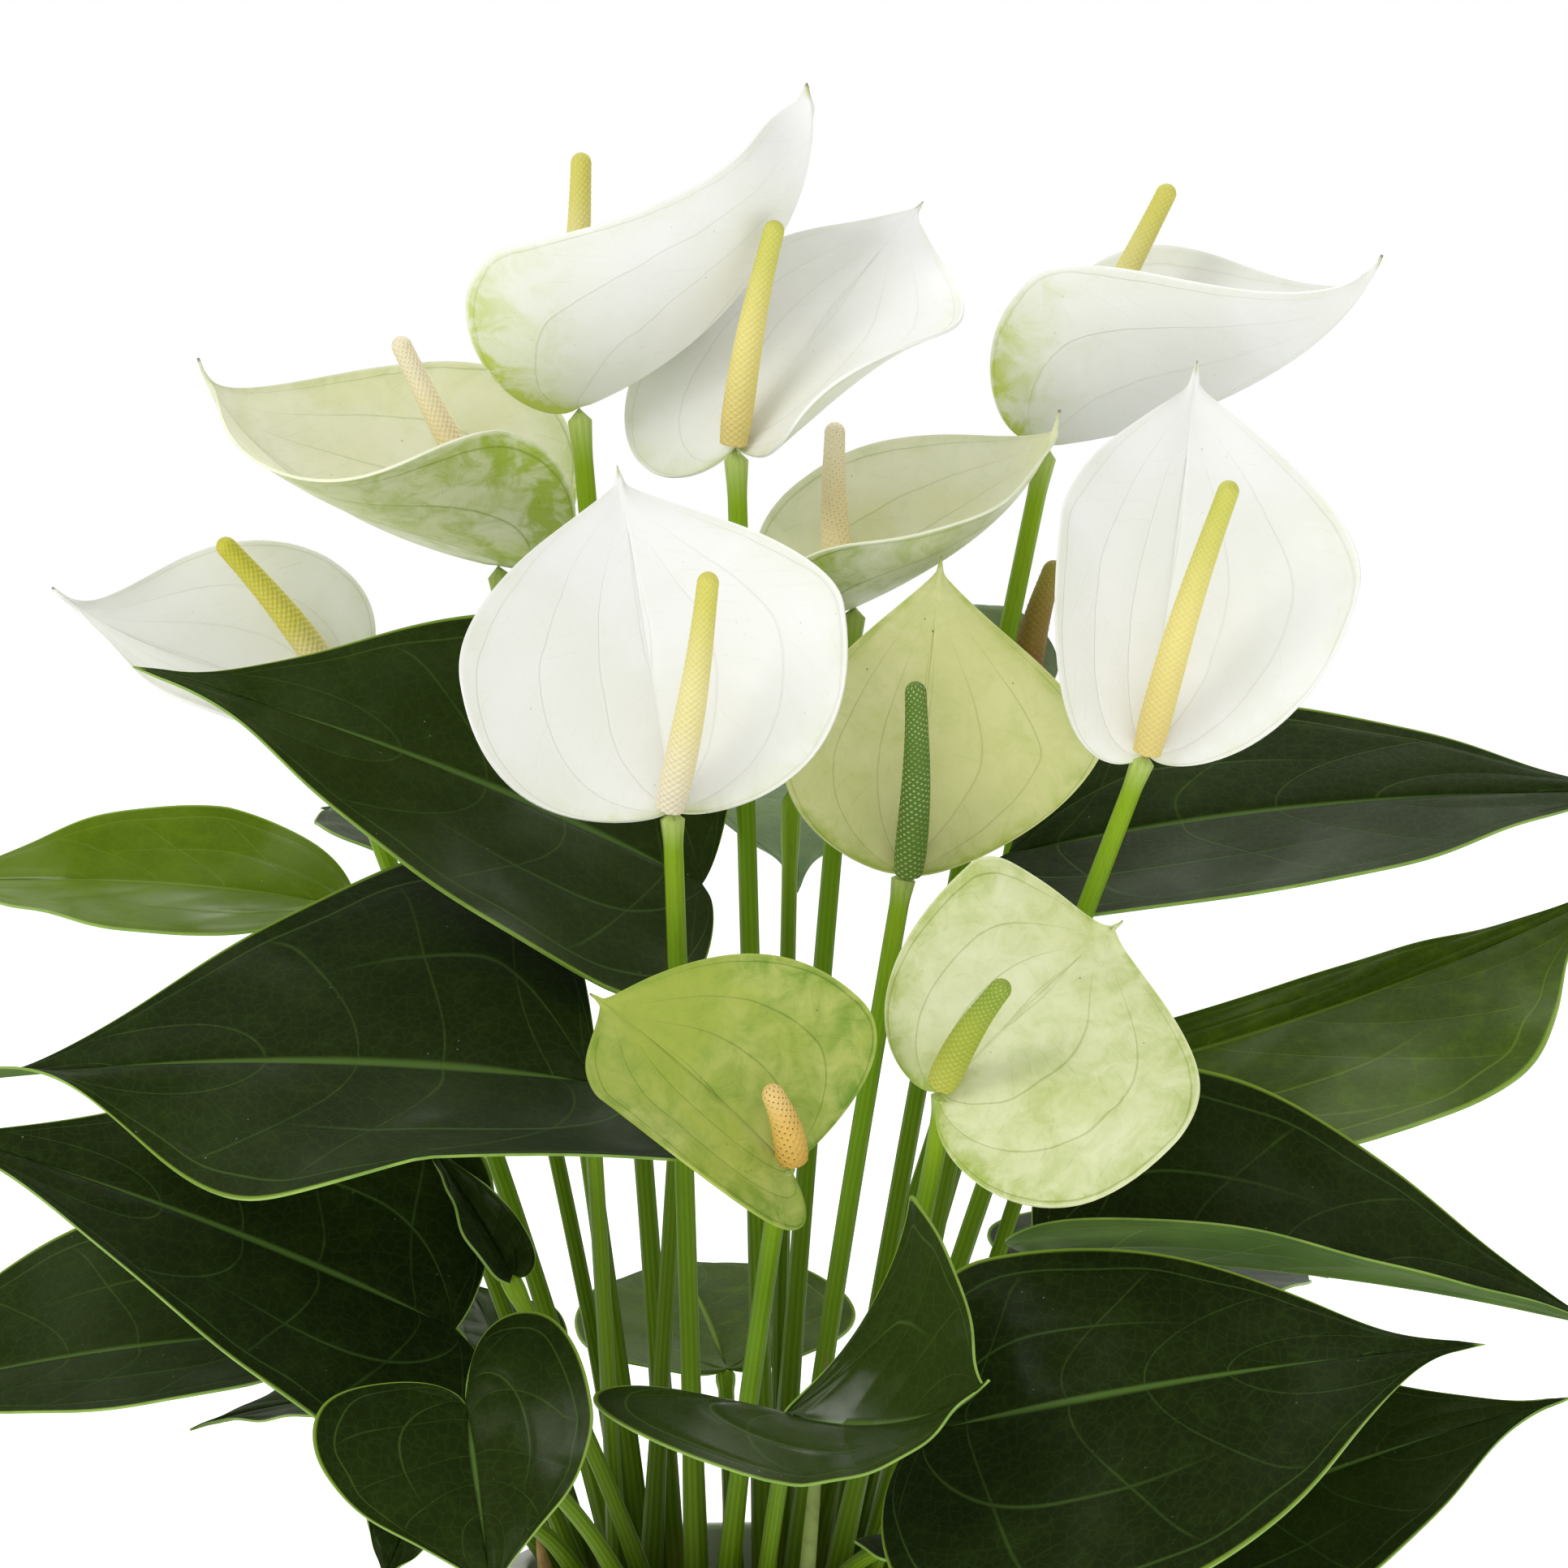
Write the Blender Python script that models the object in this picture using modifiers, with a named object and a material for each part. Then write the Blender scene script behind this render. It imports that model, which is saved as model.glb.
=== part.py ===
"""Potted anthurium: twelve flowers and twenty-two leaves growing in a plain ceramic pot.

Metres, +Z up. The origin is the middle of the pot's flat foot and -Y is the front.
The plant's own tables are in millimetres measured from the middle of the soil's top,
so the whole plant rides on the soil when the pot changes. TABLE_RADIUS is the planting circle
that the tables were laid out for, and each piece moves out with its foot when it widens.
TABLE_STALK_RADIUS is the stalk that they leave room for.
"""

import math

import bmesh
import bpy
import numpy as np
from mathutils import Vector

MM = 0.001

# Pot and soil
POT_HEIGHT = 0.120
POT_RIM_RADIUS = 0.065
POT_FOOT_RADIUS = 0.047
POT_WALL = 0.0045
POT_FLOOR = 0.006
RIM_BAND_HEIGHT = 0.011
RIM_BAND_STEP = 0.0018
SOIL_BELOW_RIM = 0.015
LIP_ROUNDING = 0.35
FOOT_ROUNDING = 0.4
GAP = 0.0003
TURNED_STEPS = 32

# Plant
PLANTING_MARGIN = 0.0065
TABLE_RADIUS = 0.049875
TABLE_STALK_RADIUS = 0.0026
CROWN_SPREAD = 1.5
STALK_RADIUS = 0.0026
STALK_FOOT_SWELL = 1.35
PETIOLE_RADIUS = 0.0022
PETIOLE_ROOT = 0.005
UPRIGHT_RUN = 0.004
SPADIX_RADIUS = 0.0042
BLADE_THICKNESS = 0.0010
STALK_POINTS = 9
DEFAULT_RISE = 0.33
LEAN_AT_FOOT = 0.25
REACH_AT_TOP = 0.3
STALK_CLEARANCE = 1.4
SPADIX_STAND = 1.0
SPADIX_FORWARD = 2.0
BLADE_CELLS_LONG = 8
BLADE_CELLS_WIDE = 6

# Outline of a blade: where along u the lobe, the side and the cusp change over, and how far a
# lobe's curve bulges for its handle's reach.
WIDEST_SHARE = 0.36
CUSP_SHARE = 0.94
CUSP_HALF_WIDTH = 0.010
BULGE_OF_HANDLE = 0.74
BULGE_OF_WIDEST = 0.09
MIDRIB_CROWDING = 1.25
DEFAULT_BEND = 20
FLICK_FROM = 0.55

# Shares of a blade's length: half its width, how far the lobe reaches behind the base, where it is
# widest, the sinus's half width, how full the shoulder and the taper are, and the cusp's length.
LEAF_SHAPE = dict(
    half=0.31, lobe=0.17, widest=0.16, notch=0.05, shoulder=0.45, taper=0.22, cusp=0.05, hip=1.0
)
SPATHE_SHAPE = dict(
    half=0.50, lobe=0.12, widest=0.30, notch=0.05, shoulder=0.55, taper=0.16, cusp=0.07, hip=1.0
)

WHITE = (0.86, 0.87, 0.80, 1.0)
CREAM_GREEN = (0.70, 0.76, 0.46, 1.0)
GREEN_CREAM = (0.48, 0.60, 0.20, 1.0)
DARK_LEAF = (0.012, 0.045, 0.010, 1.0)
PALE_LEAF = (0.06, 0.14, 0.015, 1.0)
STALK_GREEN = (0.13, 0.26, 0.03, 1.0)
YELLOW = (0.76, 0.66, 0.22, 1.0)
GREEN_SPADIX = (0.16, 0.27, 0.04, 1.0)
BROWN_SPADIX = (0.30, 0.20, 0.04, 1.0)
POT_GREY = (0.74, 0.74, 0.71, 1.0)
SOIL_BROWN = (0.035, 0.022, 0.013, 1.0)

# A flower: base is where the spathe meets its stalk, tip is the end of its cusp, face is the way
# its upper side looks, spadix is the spadix's free end. foot is a share of the planting circle.
# A pair holds the two halves of a blade, the half on the left seen from the base first.
FLOWERS = {
    "high_left": dict(
        base=(-46, 31, 326), tip=(16, 6, 412), face=(-0.81, 0.25, 0.59), spadix=(-45, 33, 395),
        foot=(-0.40, 0.42), half=(0.45, 0.48), fold=(25, 20), curl=(65, 50), bend=-60, flick=25,
        lobe=0.12, widest=0.14, shoulder=(0.60, 0.85), taper=(0.08, 0.04), cusp=0.04, wave=8,
        wave_side=(0, 1), wave_count=1.55, wave_start=-0.12, colour=WHITE,
    ),
    "high_centre": dict(
        base=(-3, 19, 315), tip=(48, 42, 382), face=(-0.08, -0.85, 0.52), spadix=(8, -4, 375),
        foot=(0.10, 0.10), half=(0.48, 0.62), fold=(-14, 26), curl=(0, 88), lobe=(0.20, -0.02),
        widest=(0.12, 0.38), hip=1.0, curl_tip=(0, 8), shoulder=(0.60, 0.52), taper=(0.08, 0.06),
        cusp=0.04, fold_tip=0, colour=WHITE,
    ),
    "high_right": dict(
        base=(82, 48, 316), tip=(172, 28, 367), face=(-0.49, 0.05, 0.87), spadix=(116, 48, 387),
        foot=(0.48, 0.34), half=(0.55, 0.52), fold=(30, 35), curl=(50, 45), bend=-42, flick=20,
        lobe=0.10, widest=(0.30, 0.14), shoulder=(0.55, 0.50), taper=(0.08, 0.05), cusp=0.05,
        colour=WHITE,
    ),
    "right": dict(
        base=(105, -30, 235), tip=(120, 0, 338), face=(0.1, -0.9, 0.3), spadix=(125, -60, 306),
        foot=(0.60, -0.20), half=(0.31, 0.46), fold=5, curl=25, lobe=0.02, widest=(0.50, 0.45),
        hip=(1.0, 0.6), shoulder=0.4, taper=0.05, cusp=0.06, colour=WHITE,
    ),
    "centre": dict(
        base=(-19, -50, 221), tip=(-34, -20, 310), face=(0.05, -0.9, 0.35), spadix=(-9, -80, 283),
        foot=(-0.26, -0.56), half=(0.55, 0.56), fold=5, curl=25, lobe=0.0, widest=(0.38, 0.45),
        shoulder=(0.45, 0.35), taper=0.05, cusp=0.05, colour=WHITE,
    ),
    "left": dict(
        base=(-68, 40, 283), tip=(-148, 20, 339), face=(0.4, -0.5, 0.75), spadix=(-95, 30, 345),
        foot=(-0.56, 0.34), half=(0.60, 0.55), fold=(45, 15), fold_tip=10, curl=(75, 50),
        curl_tip=(20, 40), bend=-50, flick=20, lobe=(0.20, 0.16), widest=0.15, taper=0.08,
        colour=CREAM_GREEN,
    ),
    "far_left": dict(
        base=(-117, 50, 248), tip=(-189, 30, 277), face=(0.25, -0.5, 0.9), spadix=(-144, 35, 290),
        foot=(-0.66, 0.18), half=(0.36, 0.50), fold=(0, 20), curl=(10, 55), bend=-25, flick=15,
        lobe=0.16, widest=0.2, colour=WHITE,
    ),
    "behind_centre": dict(
        base=(29, 34, 272), tip=(84, 12, 325), face=(-0.5, -0.45, 0.7), spadix=(24, 40, 322),
        foot=(0.16, 0.44), half=0.54, fold=(10, 25), fold_tip=10, curl=(50, 75), curl_tip=40, bend=-40,
        flick=20, lobe=0.28, widest=0.15, taper=0.08, colour=CREAM_GREEN,
    ),
    "green_centre": dict(
        base=(42, -20, 203), tip=(52, 0, 286), face=(0.1, -0.9, 0.3), spadix=(44, -50, 254),
        foot=(0.24, -0.24), half=(0.46, 0.56), fold=(5, 0), curl=(20, 5), lobe=0.0, widest=(0.35, 0.45),
        hip=(0.6, 0.2), shoulder=0.2, taper=0.05, cusp=0.05, colour=CREAM_GREEN,
        spadix_colour=GREEN_SPADIX,
    ),
    "green_right": dict(
        base=(51, -70, 150), tip=(98, -48, 192), face=(0.0, -0.75, 0.6), spadix=(66, -95, 180),
        foot=(0.44, -0.56), arrive=(0.1, -0.3, 1), half=(0.56, 0.95), fold=5, curl=20,
        lobe=(0.02, 0.20), widest=(0.70, 0.35), shoulder=(0.75, 0.60), taper=0.05, cusp=0.06,
        colour=CREAM_GREEN, spadix_colour=GREEN_SPADIX,
    ),
    "green_front": dict(
        base=(10, -92, 134), tip=(-39, -94, 177), face=(0.2, -0.75, 0.6), spadix=(6, -105, 155),
        foot=(-0.12, -0.68), half=(0.40, 0.68), fold=(0, 10), curl=20, lobe=(0.20, 0.05),
        widest=(0.70, 0.20), shoulder=(0.60, 0.70), taper=0.05, cusp=0.05, colour=GREEN_CREAM,
    ),
    "spent": dict(
        base=(78, 52, 250), tip=(58, 66, 274), face=(0.2, -0.9, 0.4), spadix=(85, 50, 284),
        foot=(0.34, 0.58), arrive=(0, -0.1, 1), half=0.35, fold=0, curl=20, lobe=0.08,
        colour=GREEN_CREAM, spadix_colour=BROWN_SPADIX,
    ),
}

# A leaf: blade and petiole grew as one piece. base is where the petiole meets the blade.
LEAVES = {
    "upper_left": dict(
        base=(-12, 2, 198), tip=(-162, -18, 257), face=(0, -0.7, 0.7), foot=(-0.52, -0.08),
        half=(0.36, 0.38), fold=5, curl=15, shoulder=(0.45, 0.50), lobe=(0.03, 0.0),
    ),
    "broad_left": dict(
        base=(-38, -60, 151), tip=(-194, -90, 155), face=(0, -0.6, 0.8), foot=(-0.68, -0.32),
        half=(0.42, 0.56), fold=(0, 5), curl=(30, -5), widest=(0.35, 0.06), shoulder=(0.45, 0.30),
        lobe=(0.16, 0.0), wave=14, wave_side=(1, 0), wave_count=1.3, wave_start=-0.075,
    ),
    "pale_left": dict(
        base=(-108, 20, 191), tip=(-238, 40, 194), face=(0, -0.5, 0.85), foot=(-0.84, 0.32),
        half=(0.28, 0.22), fold=10, curl=10, lobe=0.0, widest=0.3, hip=0.3, colour=PALE_LEAF,
    ),
    "drooping_left": dict(
        base=(-75, -60, 87), tip=(-217, -50, 139), face=(0.1, -0.75, 0.65), foot=(-0.84, -0.20),
        half=(0.32, 0.34), fold=5, curl=10, lobe=(0.1, 0.0), widest=(0.10, 0.16), shoulder=(0.20, 0.45),
    ),
    "lower_left": dict(
        base=(-127, -20, 80), tip=(-258, 0, 52), face=(0, -0.6, 0.8), foot=(-0.92, 0.06),
        half=(0.20, 0.36), fold=5, curl=10, lobe=0.05,
    ),
    "shaded_left": dict(
        base=(-88, 24, 58), tip=(-153, 32, 46), face=(0, -0.3, 0.95), foot=(-0.86, 0.52), half=0.30,
        fold=5, curl=10, lobe=0.05,
    ),
    "front_heart": dict(
        base=(-70, -100, 73), tip=(-62, -125, 26), face=(0, -0.85, 0.5), foot=(-0.56, -0.74),
        half=(0.60, 0.75), fold=10, curl=10, lobe=(0.45, 0.15),
    ),
    "young": dict(
        base=(-61, -50, 100), tip=(-85, -40, 135), face=(0.4, -0.7, 0.5), foot=(-0.48, -0.50),
        half=(0.30, 0.20), fold=30, curl=10, lobe=0.05,
    ),
    "front_cupped": dict(
        base=(10, -90, 70), tip=(61, -120, 83), face=(-0.1, -0.5, 0.85), foot=(0.08, -0.86),
        half=(0.92, 0.40), fold=(25, 0), curl=(30, 0), bend=-60, lobe=(-0.07, 0.75),
        widest=(0.68, 0.20), notch=(0.0, 0.05), hip=(0.0, 1.0), shoulder=(0.95, 0.45),
        taper=(0.05, 0.20),
    ),
    "upper_right": dict(
        base=(71, 22, 205), tip=(255, 36, 220), face=(0, -0.6, 0.8), foot=(0.68, 0.16),
        half=(0.24, 0.26), fold=5, curl=(5, 20), shoulder=(0.50, 0.60), lobe=(-0.03, 0.10),
        hip=(0.3, 1.0),
    ),
    "pale_right": dict(
        base=(82, 38, 140), tip=(251, 56, 198), face=(0, -0.6, 0.8), foot=(0.86, 0.28),
        half=(0.07, 0.35), fold=5, curl=10, widest=(0.40, 0.55), shoulder=(0.45, 0.60), lobe=0.05,
        bend=-20, colour=PALE_LEAF,
    ),
    "mid_right": dict(
        base=(76, -44, 104), tip=(233, -34, 82), face=(0.1, -0.6, 0.8), foot=(0.78, -0.20),
        half=(0.38, 0.14), fold=(10, 60), curl=(10, 20), lobe=(0.0, 0.05),
    ),
    "broad_right": dict(
        base=(47, -70, 62), tip=(189, -80, 86), face=(0, -0.8, 0.6), foot=(0.58, -0.72),
        half=(0.29, 0.46), fold=5, curl=10, lobe=(0.0, 0.10), shoulder=(0.50, 0.65),
    ),
    "lower_right": dict(
        base=(108, -20, 24), tip=(219, -20, 63), face=(0, -0.7, 0.7), foot=(0.84, -0.42),
        half=(0.30, 0.40), fold=5, curl=10, rise=0.6,
    ),
    "back_left": dict(
        base=(-72, 78, 201), tip=(-127, 168, 209), face=(0, -0.3, 0.95), foot=(-0.62, 0.72), half=0.36,
        fold=5, curl=10, lobe=0.0,
    ),
    "back_low": dict(
        base=(-6, 64, 58), tip=(-24, 160, 78), face=(0, -0.4, 0.9), foot=(-0.08, 0.76), half=0.40,
        fold=5, curl=10, lobe=0.03, colour=PALE_LEAF,
    ),
    "back_centre": dict(
        base=(12, 72, 222), tip=(14, 170, 184), face=(0, -0.2, 1), foot=(0.16, 0.80), half=0.32, fold=5,
        curl=10, lobe=0.0,
    ),
    "small_front": dict(
        base=(43, -62, 34), tip=(66, -104, 28), face=(0, -0.5, 0.85), foot=(0.34, -0.82), half=0.36,
        fold=5, curl=10, rise=0.45,
    ),
    "crinkled": dict(
        base=(-84, -60, 44), tip=(-93, -80, 23), face=(0, -0.6, 0.8), foot=(-0.78, -0.54), half=0.40,
        fold=5, curl=10, rise=0.5,
    ),
    "inner_left": dict(
        base=(-66, 38, 64), tip=(-80, 80, 80), face=(0, -0.6, 0.8), foot=(-0.44, 0.54), half=0.40,
        fold=5, curl=10,
    ),
    "back_right": dict(
        base=(84, 78, 200), tip=(154, 178, 214), face=(0, -0.3, 0.95), foot=(0.56, 0.66), half=0.34,
        fold=5, curl=10, lobe=0.0,
    ),
    "back_low_right": dict(
        base=(92, 46, 80), tip=(170, 150, 72), face=(0, -0.3, 0.95), foot=(0.76, 0.52), half=0.34,
        fold=5, curl=10, lobe=0.0,
    ),
}


def soil_top():
    return POT_HEIGHT - SOIL_BELOW_RIM


def pot_inner_radius(height):
    """Inside radius of the pot's straight tapered wall at a height above its foot."""
    outer = POT_FOOT_RADIUS + (POT_RIM_RADIUS - RIM_BAND_STEP - POT_FOOT_RADIUS) * height / POT_HEIGHT
    return outer - POT_WALL


def planting_radius():
    return pot_inner_radius(soil_top()) - GAP - PLANTING_MARGIN


def on_plant(spec, name):
    """One of a piece's table points in world metres. It moves out with the piece's own foot."""
    spread = (planting_radius() - TABLE_RADIUS) * np.array([*spec["foot"], 0.0])
    return np.array(spec[name], float) * MM + spread + np.array([0.0, 0.0, soil_top()])


def on_soil(share):
    """A stalk's foot, given as a share of the planting circle, just clear of the soil."""
    radius = planting_radius()
    return np.array([share[0] * radius, share[1] * radius, soil_top() + GAP])


def leaf_foot(share):
    """A petiole's foot. Leaves stand outside the flower stalks, so they move out as those thicken."""
    return on_soil(share) + unit([*share, 0.0]) * CROWN_SPREAD * (STALK_RADIUS - TABLE_STALK_RADIUS)


def unit(vector):
    vector = np.asarray(vector, float)
    return vector / np.linalg.norm(vector)


def sides(value, side):
    """Picks a blade value for each half, from one number or a left and right pair."""
    left, right = value if isinstance(value, tuple) else (value, value)
    return np.where(side < 0, left, right)


def bezier(points, t):
    t = np.asarray(t)[..., None]
    a, b, c, d = [np.stack(np.broadcast_arrays(*point), -1) for point in points]
    return (1 - t) ** 3 * a + 3 * (1 - t) ** 2 * t * b + 3 * (1 - t) * t**2 * c + t**3 * d


def margin(u, half, lobe, widest, notch, shoulder, taper, cusp, hip):
    """Edge of the flat blade from sinus (u = 0) to tip (u = 1), for a blade one unit long."""
    back = (lobe + BULGE_OF_WIDEST * widest) / BULGE_OF_HANDLE
    zero = np.zeros_like(u)
    hip_x = widest * 0.5 * (1 - hip) - back * 0.95 * hip
    lobe_curve = bezier(
        [(zero, zero), (-back, notch), (hip_x, half * (0.8 + 0.2 * hip)), (widest, half)],
        np.clip(u / WIDEST_SHARE, 0, 1),
    )
    side_curve = bezier(
        [
            (widest, half),
            (widest + shoulder * (1 - widest), half),
            (1 - cusp - taper, CUSP_HALF_WIDTH + 0.3 * taper * half),
            (1 - cusp, CUSP_HALF_WIDTH + zero),
        ],
        np.clip((u - WIDEST_SHARE) / (CUSP_SHARE - WIDEST_SHARE), 0, 1),
    )
    into_cusp = (u - CUSP_SHARE) / (1 - CUSP_SHARE)
    cusp_line = np.stack([1 - cusp + cusp * into_cusp, CUSP_HALF_WIDTH * (1 - into_cusp)], -1)
    edge = np.where((u <= WIDEST_SHARE)[..., None], lobe_curve, side_curve)
    return np.where((u > CUSP_SHARE)[..., None], cusp_line, edge)


def midrib(s, bend, flick, steps=200):
    """Midrib of a blade one unit from base to tip: (along, up, slope angle, arc scale) at each s."""
    grid = np.linspace(0, 1, steps + 1)

    def angle(g):
        lift = np.clip((g - FLICK_FROM) / (1 - FLICK_FROM), 0, 1) ** 2
        return math.radians(bend) * (0.5 - g) + math.radians(flick) * lift

    middle = (grid[1:] + grid[:-1]) / 2
    x = np.concatenate([[0], np.cumsum(np.cos(angle(middle)) / steps)])
    z = np.concatenate([[0], np.cumsum(np.sin(angle(middle)) / steps)])
    chord = math.hypot(x[-1], z[-1])
    turn = math.atan2(z[-1], x[-1])
    along = (x * math.cos(turn) + z * math.sin(turn)) / chord
    up = (z * math.cos(turn) - x * math.sin(turn)) / chord
    inside = np.clip(s, 0, 1)
    behind = np.minimum(s, 0) / chord
    start = angle(0.0) - turn
    slope = angle(inside) - turn
    along_s = np.interp(inside, grid, along) + behind * np.cos(start)
    up_s = np.interp(inside, grid, up) + behind * np.sin(start)
    return along_s, up_s, slope, 1 / chord


def blade_points(u, v, spec, kind):
    """Points of a blade's middle surface; u runs from base to tip, v from the left edge to the right."""
    shape = {key: spec.get(key, value) for key, value in kind.items()}
    side = np.where(v < 0, -1.0, 1.0)
    across = np.abs(v)
    edge = margin(u, **{key: sides(value, side) for key, value in shape.items()})
    s = (1 - across) * u**MIDRIB_CROWDING + across * edge[..., 0]
    along, up, slope, scale = midrib(s, spec.get("bend", DEFAULT_BEND), spec.get("flick", 0))
    width = across * edge[..., 1] * scale
    lobe = sides(shape["lobe"], side)
    towards_tip = np.clip((s + lobe) / (1 + lobe), 0, 1)
    fold = sides(spec["fold"], side)
    fold = np.radians(fold + (sides(spec.get("fold_tip", spec["fold"]), side) - fold) * towards_tip)
    curl = sides(spec["curl"], side)
    curl = np.radians(curl + (sides(spec.get("curl_tip", spec["curl"]), side) - curl) * towards_tip)
    turning = curl / (sides(shape["half"], side) * scale) + 1e-6
    out = side * (np.sin(fold + turning * width) - np.sin(fold)) / turning
    rise = (np.cos(fold) - np.cos(fold + turning * width)) / turning

    base, tip = on_plant(spec, "base"), on_plant(spec, "tip")
    length = np.linalg.norm(tip - base)
    ripple = np.sin(2 * math.pi * (spec.get("wave_count", 2) * u + spec.get("wave_start", 0)))
    swell = np.sqrt(np.clip(np.sin(math.pi * u), 0, 1)) * across**2
    wave = spec.get("wave", 0) * MM / length
    rise = rise + sides(spec.get("wave_side", 1), side) * wave * ripple * swell

    forward, normal, right = blade_frame(spec)
    along = along - rise * np.sin(slope)
    up = up + rise * np.cos(slope)
    return base + length * (along[..., None] * forward + up[..., None] * normal + out[..., None] * right)


def blade_frame(spec):
    """Directions of a blade: base to tip, upper side, and the right half seen from the base."""
    forward = unit(np.subtract(spec["tip"], spec["base"]))
    normal = unit(np.array(spec["face"], float) - np.dot(spec["face"], forward) * forward)
    return forward, normal, np.cross(forward, normal)


def stalk_path(foot, top, rise, arrive=None):
    """Points of a stalk that leaves the soil nearly upright and leans towards its top."""
    start = foot + np.array([0.0, 0.0, UPRIGHT_RUN])
    reach = np.linalg.norm(top - start)
    lean = LEAN_AT_FOOT * (top - start) * np.array([1, 1, 0])
    leave = start + np.array([0.0, 0.0, rise * reach]) + lean
    towards = unit(arrive) if arrive is not None else unit(top - leave)
    near_top = top - towards * reach * REACH_AT_TOP
    t = np.linspace(0, 1, STALK_POINTS - 1)[:, None]
    arc = (1 - t) ** 3 * start + 3 * (1 - t) ** 2 * t * leave
    arc = arc + 3 * (1 - t) * t**2 * near_top + t**3 * top
    return np.vstack([foot, arc])


def material(name, colour, roughness):
    made = bpy.data.materials.new(name)
    made.use_nodes = True
    shader = made.node_tree.nodes["Principled BSDF"]
    shader.inputs["Base Color"].default_value = colour
    shader.inputs["Roughness"].default_value = roughness
    shader.inputs["Metallic"].default_value = 0.0
    made.diffuse_color = colour
    return made


def add_object(name, data, collection, surface=None):
    made = bpy.data.objects.new(name, data)
    collection.objects.link(made)
    if surface:
        data.materials.append(surface)
    return made


def turned(name, profile, surface, collection):
    """A turned solid from a profile of (radius, height) that runs down its outer side."""
    mesh = bpy.data.meshes.new(name)
    points = [(radius, 0.0, height) for radius, height in profile]
    mesh.from_pydata(points, [(i, i + 1) for i in range(len(points) - 1)], [])
    made = add_object(name, mesh, collection, surface)
    screw = made.modifiers.new("Turn", "SCREW")
    screw.axis = "Z"
    screw.steps = TURNED_STEPS
    screw.render_steps = TURNED_STEPS
    screw.use_merge_vertices = True
    screw.merge_threshold = 0.00005
    return made


def tube(name, path, radii, collection, surface=None, sides_code=1):
    """A tube along a polyline, with a radius at each point and filled ends."""
    curve = bpy.data.curves.new(name, "CURVE")
    curve.dimensions = "3D"
    curve.bevel_depth = 1.0
    curve.bevel_resolution = sides_code
    curve.use_fill_caps = True
    spline = curve.splines.new("POLY")
    spline.points.add(len(path) - 1)
    for point, place, radius in zip(spline.points, path, radii):
        point.co = (*place, 1.0)
        point.radius = radius
    return add_object(name, curve, collection, surface)


def tube_as_mesh(source, collection):
    """The same tube as a welded mesh, so that a Boolean can take it."""
    bpy.context.view_layer.update()
    evaluated = source.evaluated_get(bpy.context.evaluated_depsgraph_get())
    mesh = bpy.data.meshes.new_from_object(evaluated)
    work = bmesh.new()
    work.from_mesh(mesh)
    bmesh.ops.remove_doubles(work, verts=work.verts, dist=0.00001)
    bmesh.ops.recalc_face_normals(work, faces=work.faces)
    work.to_mesh(mesh)
    work.free()
    made = bpy.data.objects.new(source.name + "_mesh", mesh)
    collection.objects.link(made)
    made.matrix_world = source.matrix_world
    bpy.data.objects.remove(source)
    made.hide_render = True
    made.display_type = "WIRE"
    return made


def blade(name, spec, kind, surface, collection):
    """A heart-shaped blade: a grid placed by formula, given its thickness by Solidify."""
    work = bmesh.new()
    bmesh.ops.create_grid(work, x_segments=BLADE_CELLS_LONG, y_segments=BLADE_CELLS_WIDE, size=0.5)
    u = np.array([vertex.co.x + 0.5 for vertex in work.verts])
    v = np.array([-2 * vertex.co.y for vertex in work.verts])
    for vertex, place in zip(work.verts, blade_points(u, v, spec, kind)):
        vertex.co = place
    bmesh.ops.remove_doubles(work, verts=work.verts, dist=0.000001)
    mesh = bpy.data.meshes.new(name)
    work.to_mesh(mesh)
    work.free()
    mesh.shade_smooth()
    made = add_object(name, mesh, collection, surface)
    solidify = made.modifiers.new("Thickness", "SOLIDIFY")
    solidify.thickness = BLADE_THICKNESS
    solidify.offset = 0.0
    return made


def make_pot(collection):
    inner_top = pot_inner_radius(POT_HEIGHT)
    band_foot = POT_HEIGHT - RIM_BAND_HEIGHT
    wall_at_band = pot_inner_radius(band_foot) + POT_WALL
    round_over = POT_WALL * LIP_ROUNDING
    foot_round = POT_WALL * FOOT_ROUNDING
    profile = [
        (0.0, POT_FLOOR),
        (pot_inner_radius(POT_FLOOR), POT_FLOOR),
        (inner_top, POT_HEIGHT - round_over),
        (inner_top + round_over, POT_HEIGHT),
        (POT_RIM_RADIUS - round_over, POT_HEIGHT),
        (POT_RIM_RADIUS, POT_HEIGHT - round_over),
        (POT_RIM_RADIUS, band_foot),
        (wall_at_band, band_foot - RIM_BAND_STEP),
        (POT_FOOT_RADIUS, foot_round),
        (POT_FOOT_RADIUS - foot_round, 0.0),
        (0.0, 0.0),
    ]
    turned("pot", profile, material("pot_glaze", POT_GREY, 0.45), collection)


def make_soil(collection):
    bottom = POT_FLOOR + GAP
    profile = [
        (0.0, soil_top()),
        (pot_inner_radius(soil_top()) - GAP, soil_top()),
        (pot_inner_radius(bottom) - GAP, bottom),
        (0.0, bottom),
    ]
    turned("soil", profile, material("soil_crumb", SOIL_BROWN, 0.95), collection)


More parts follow.
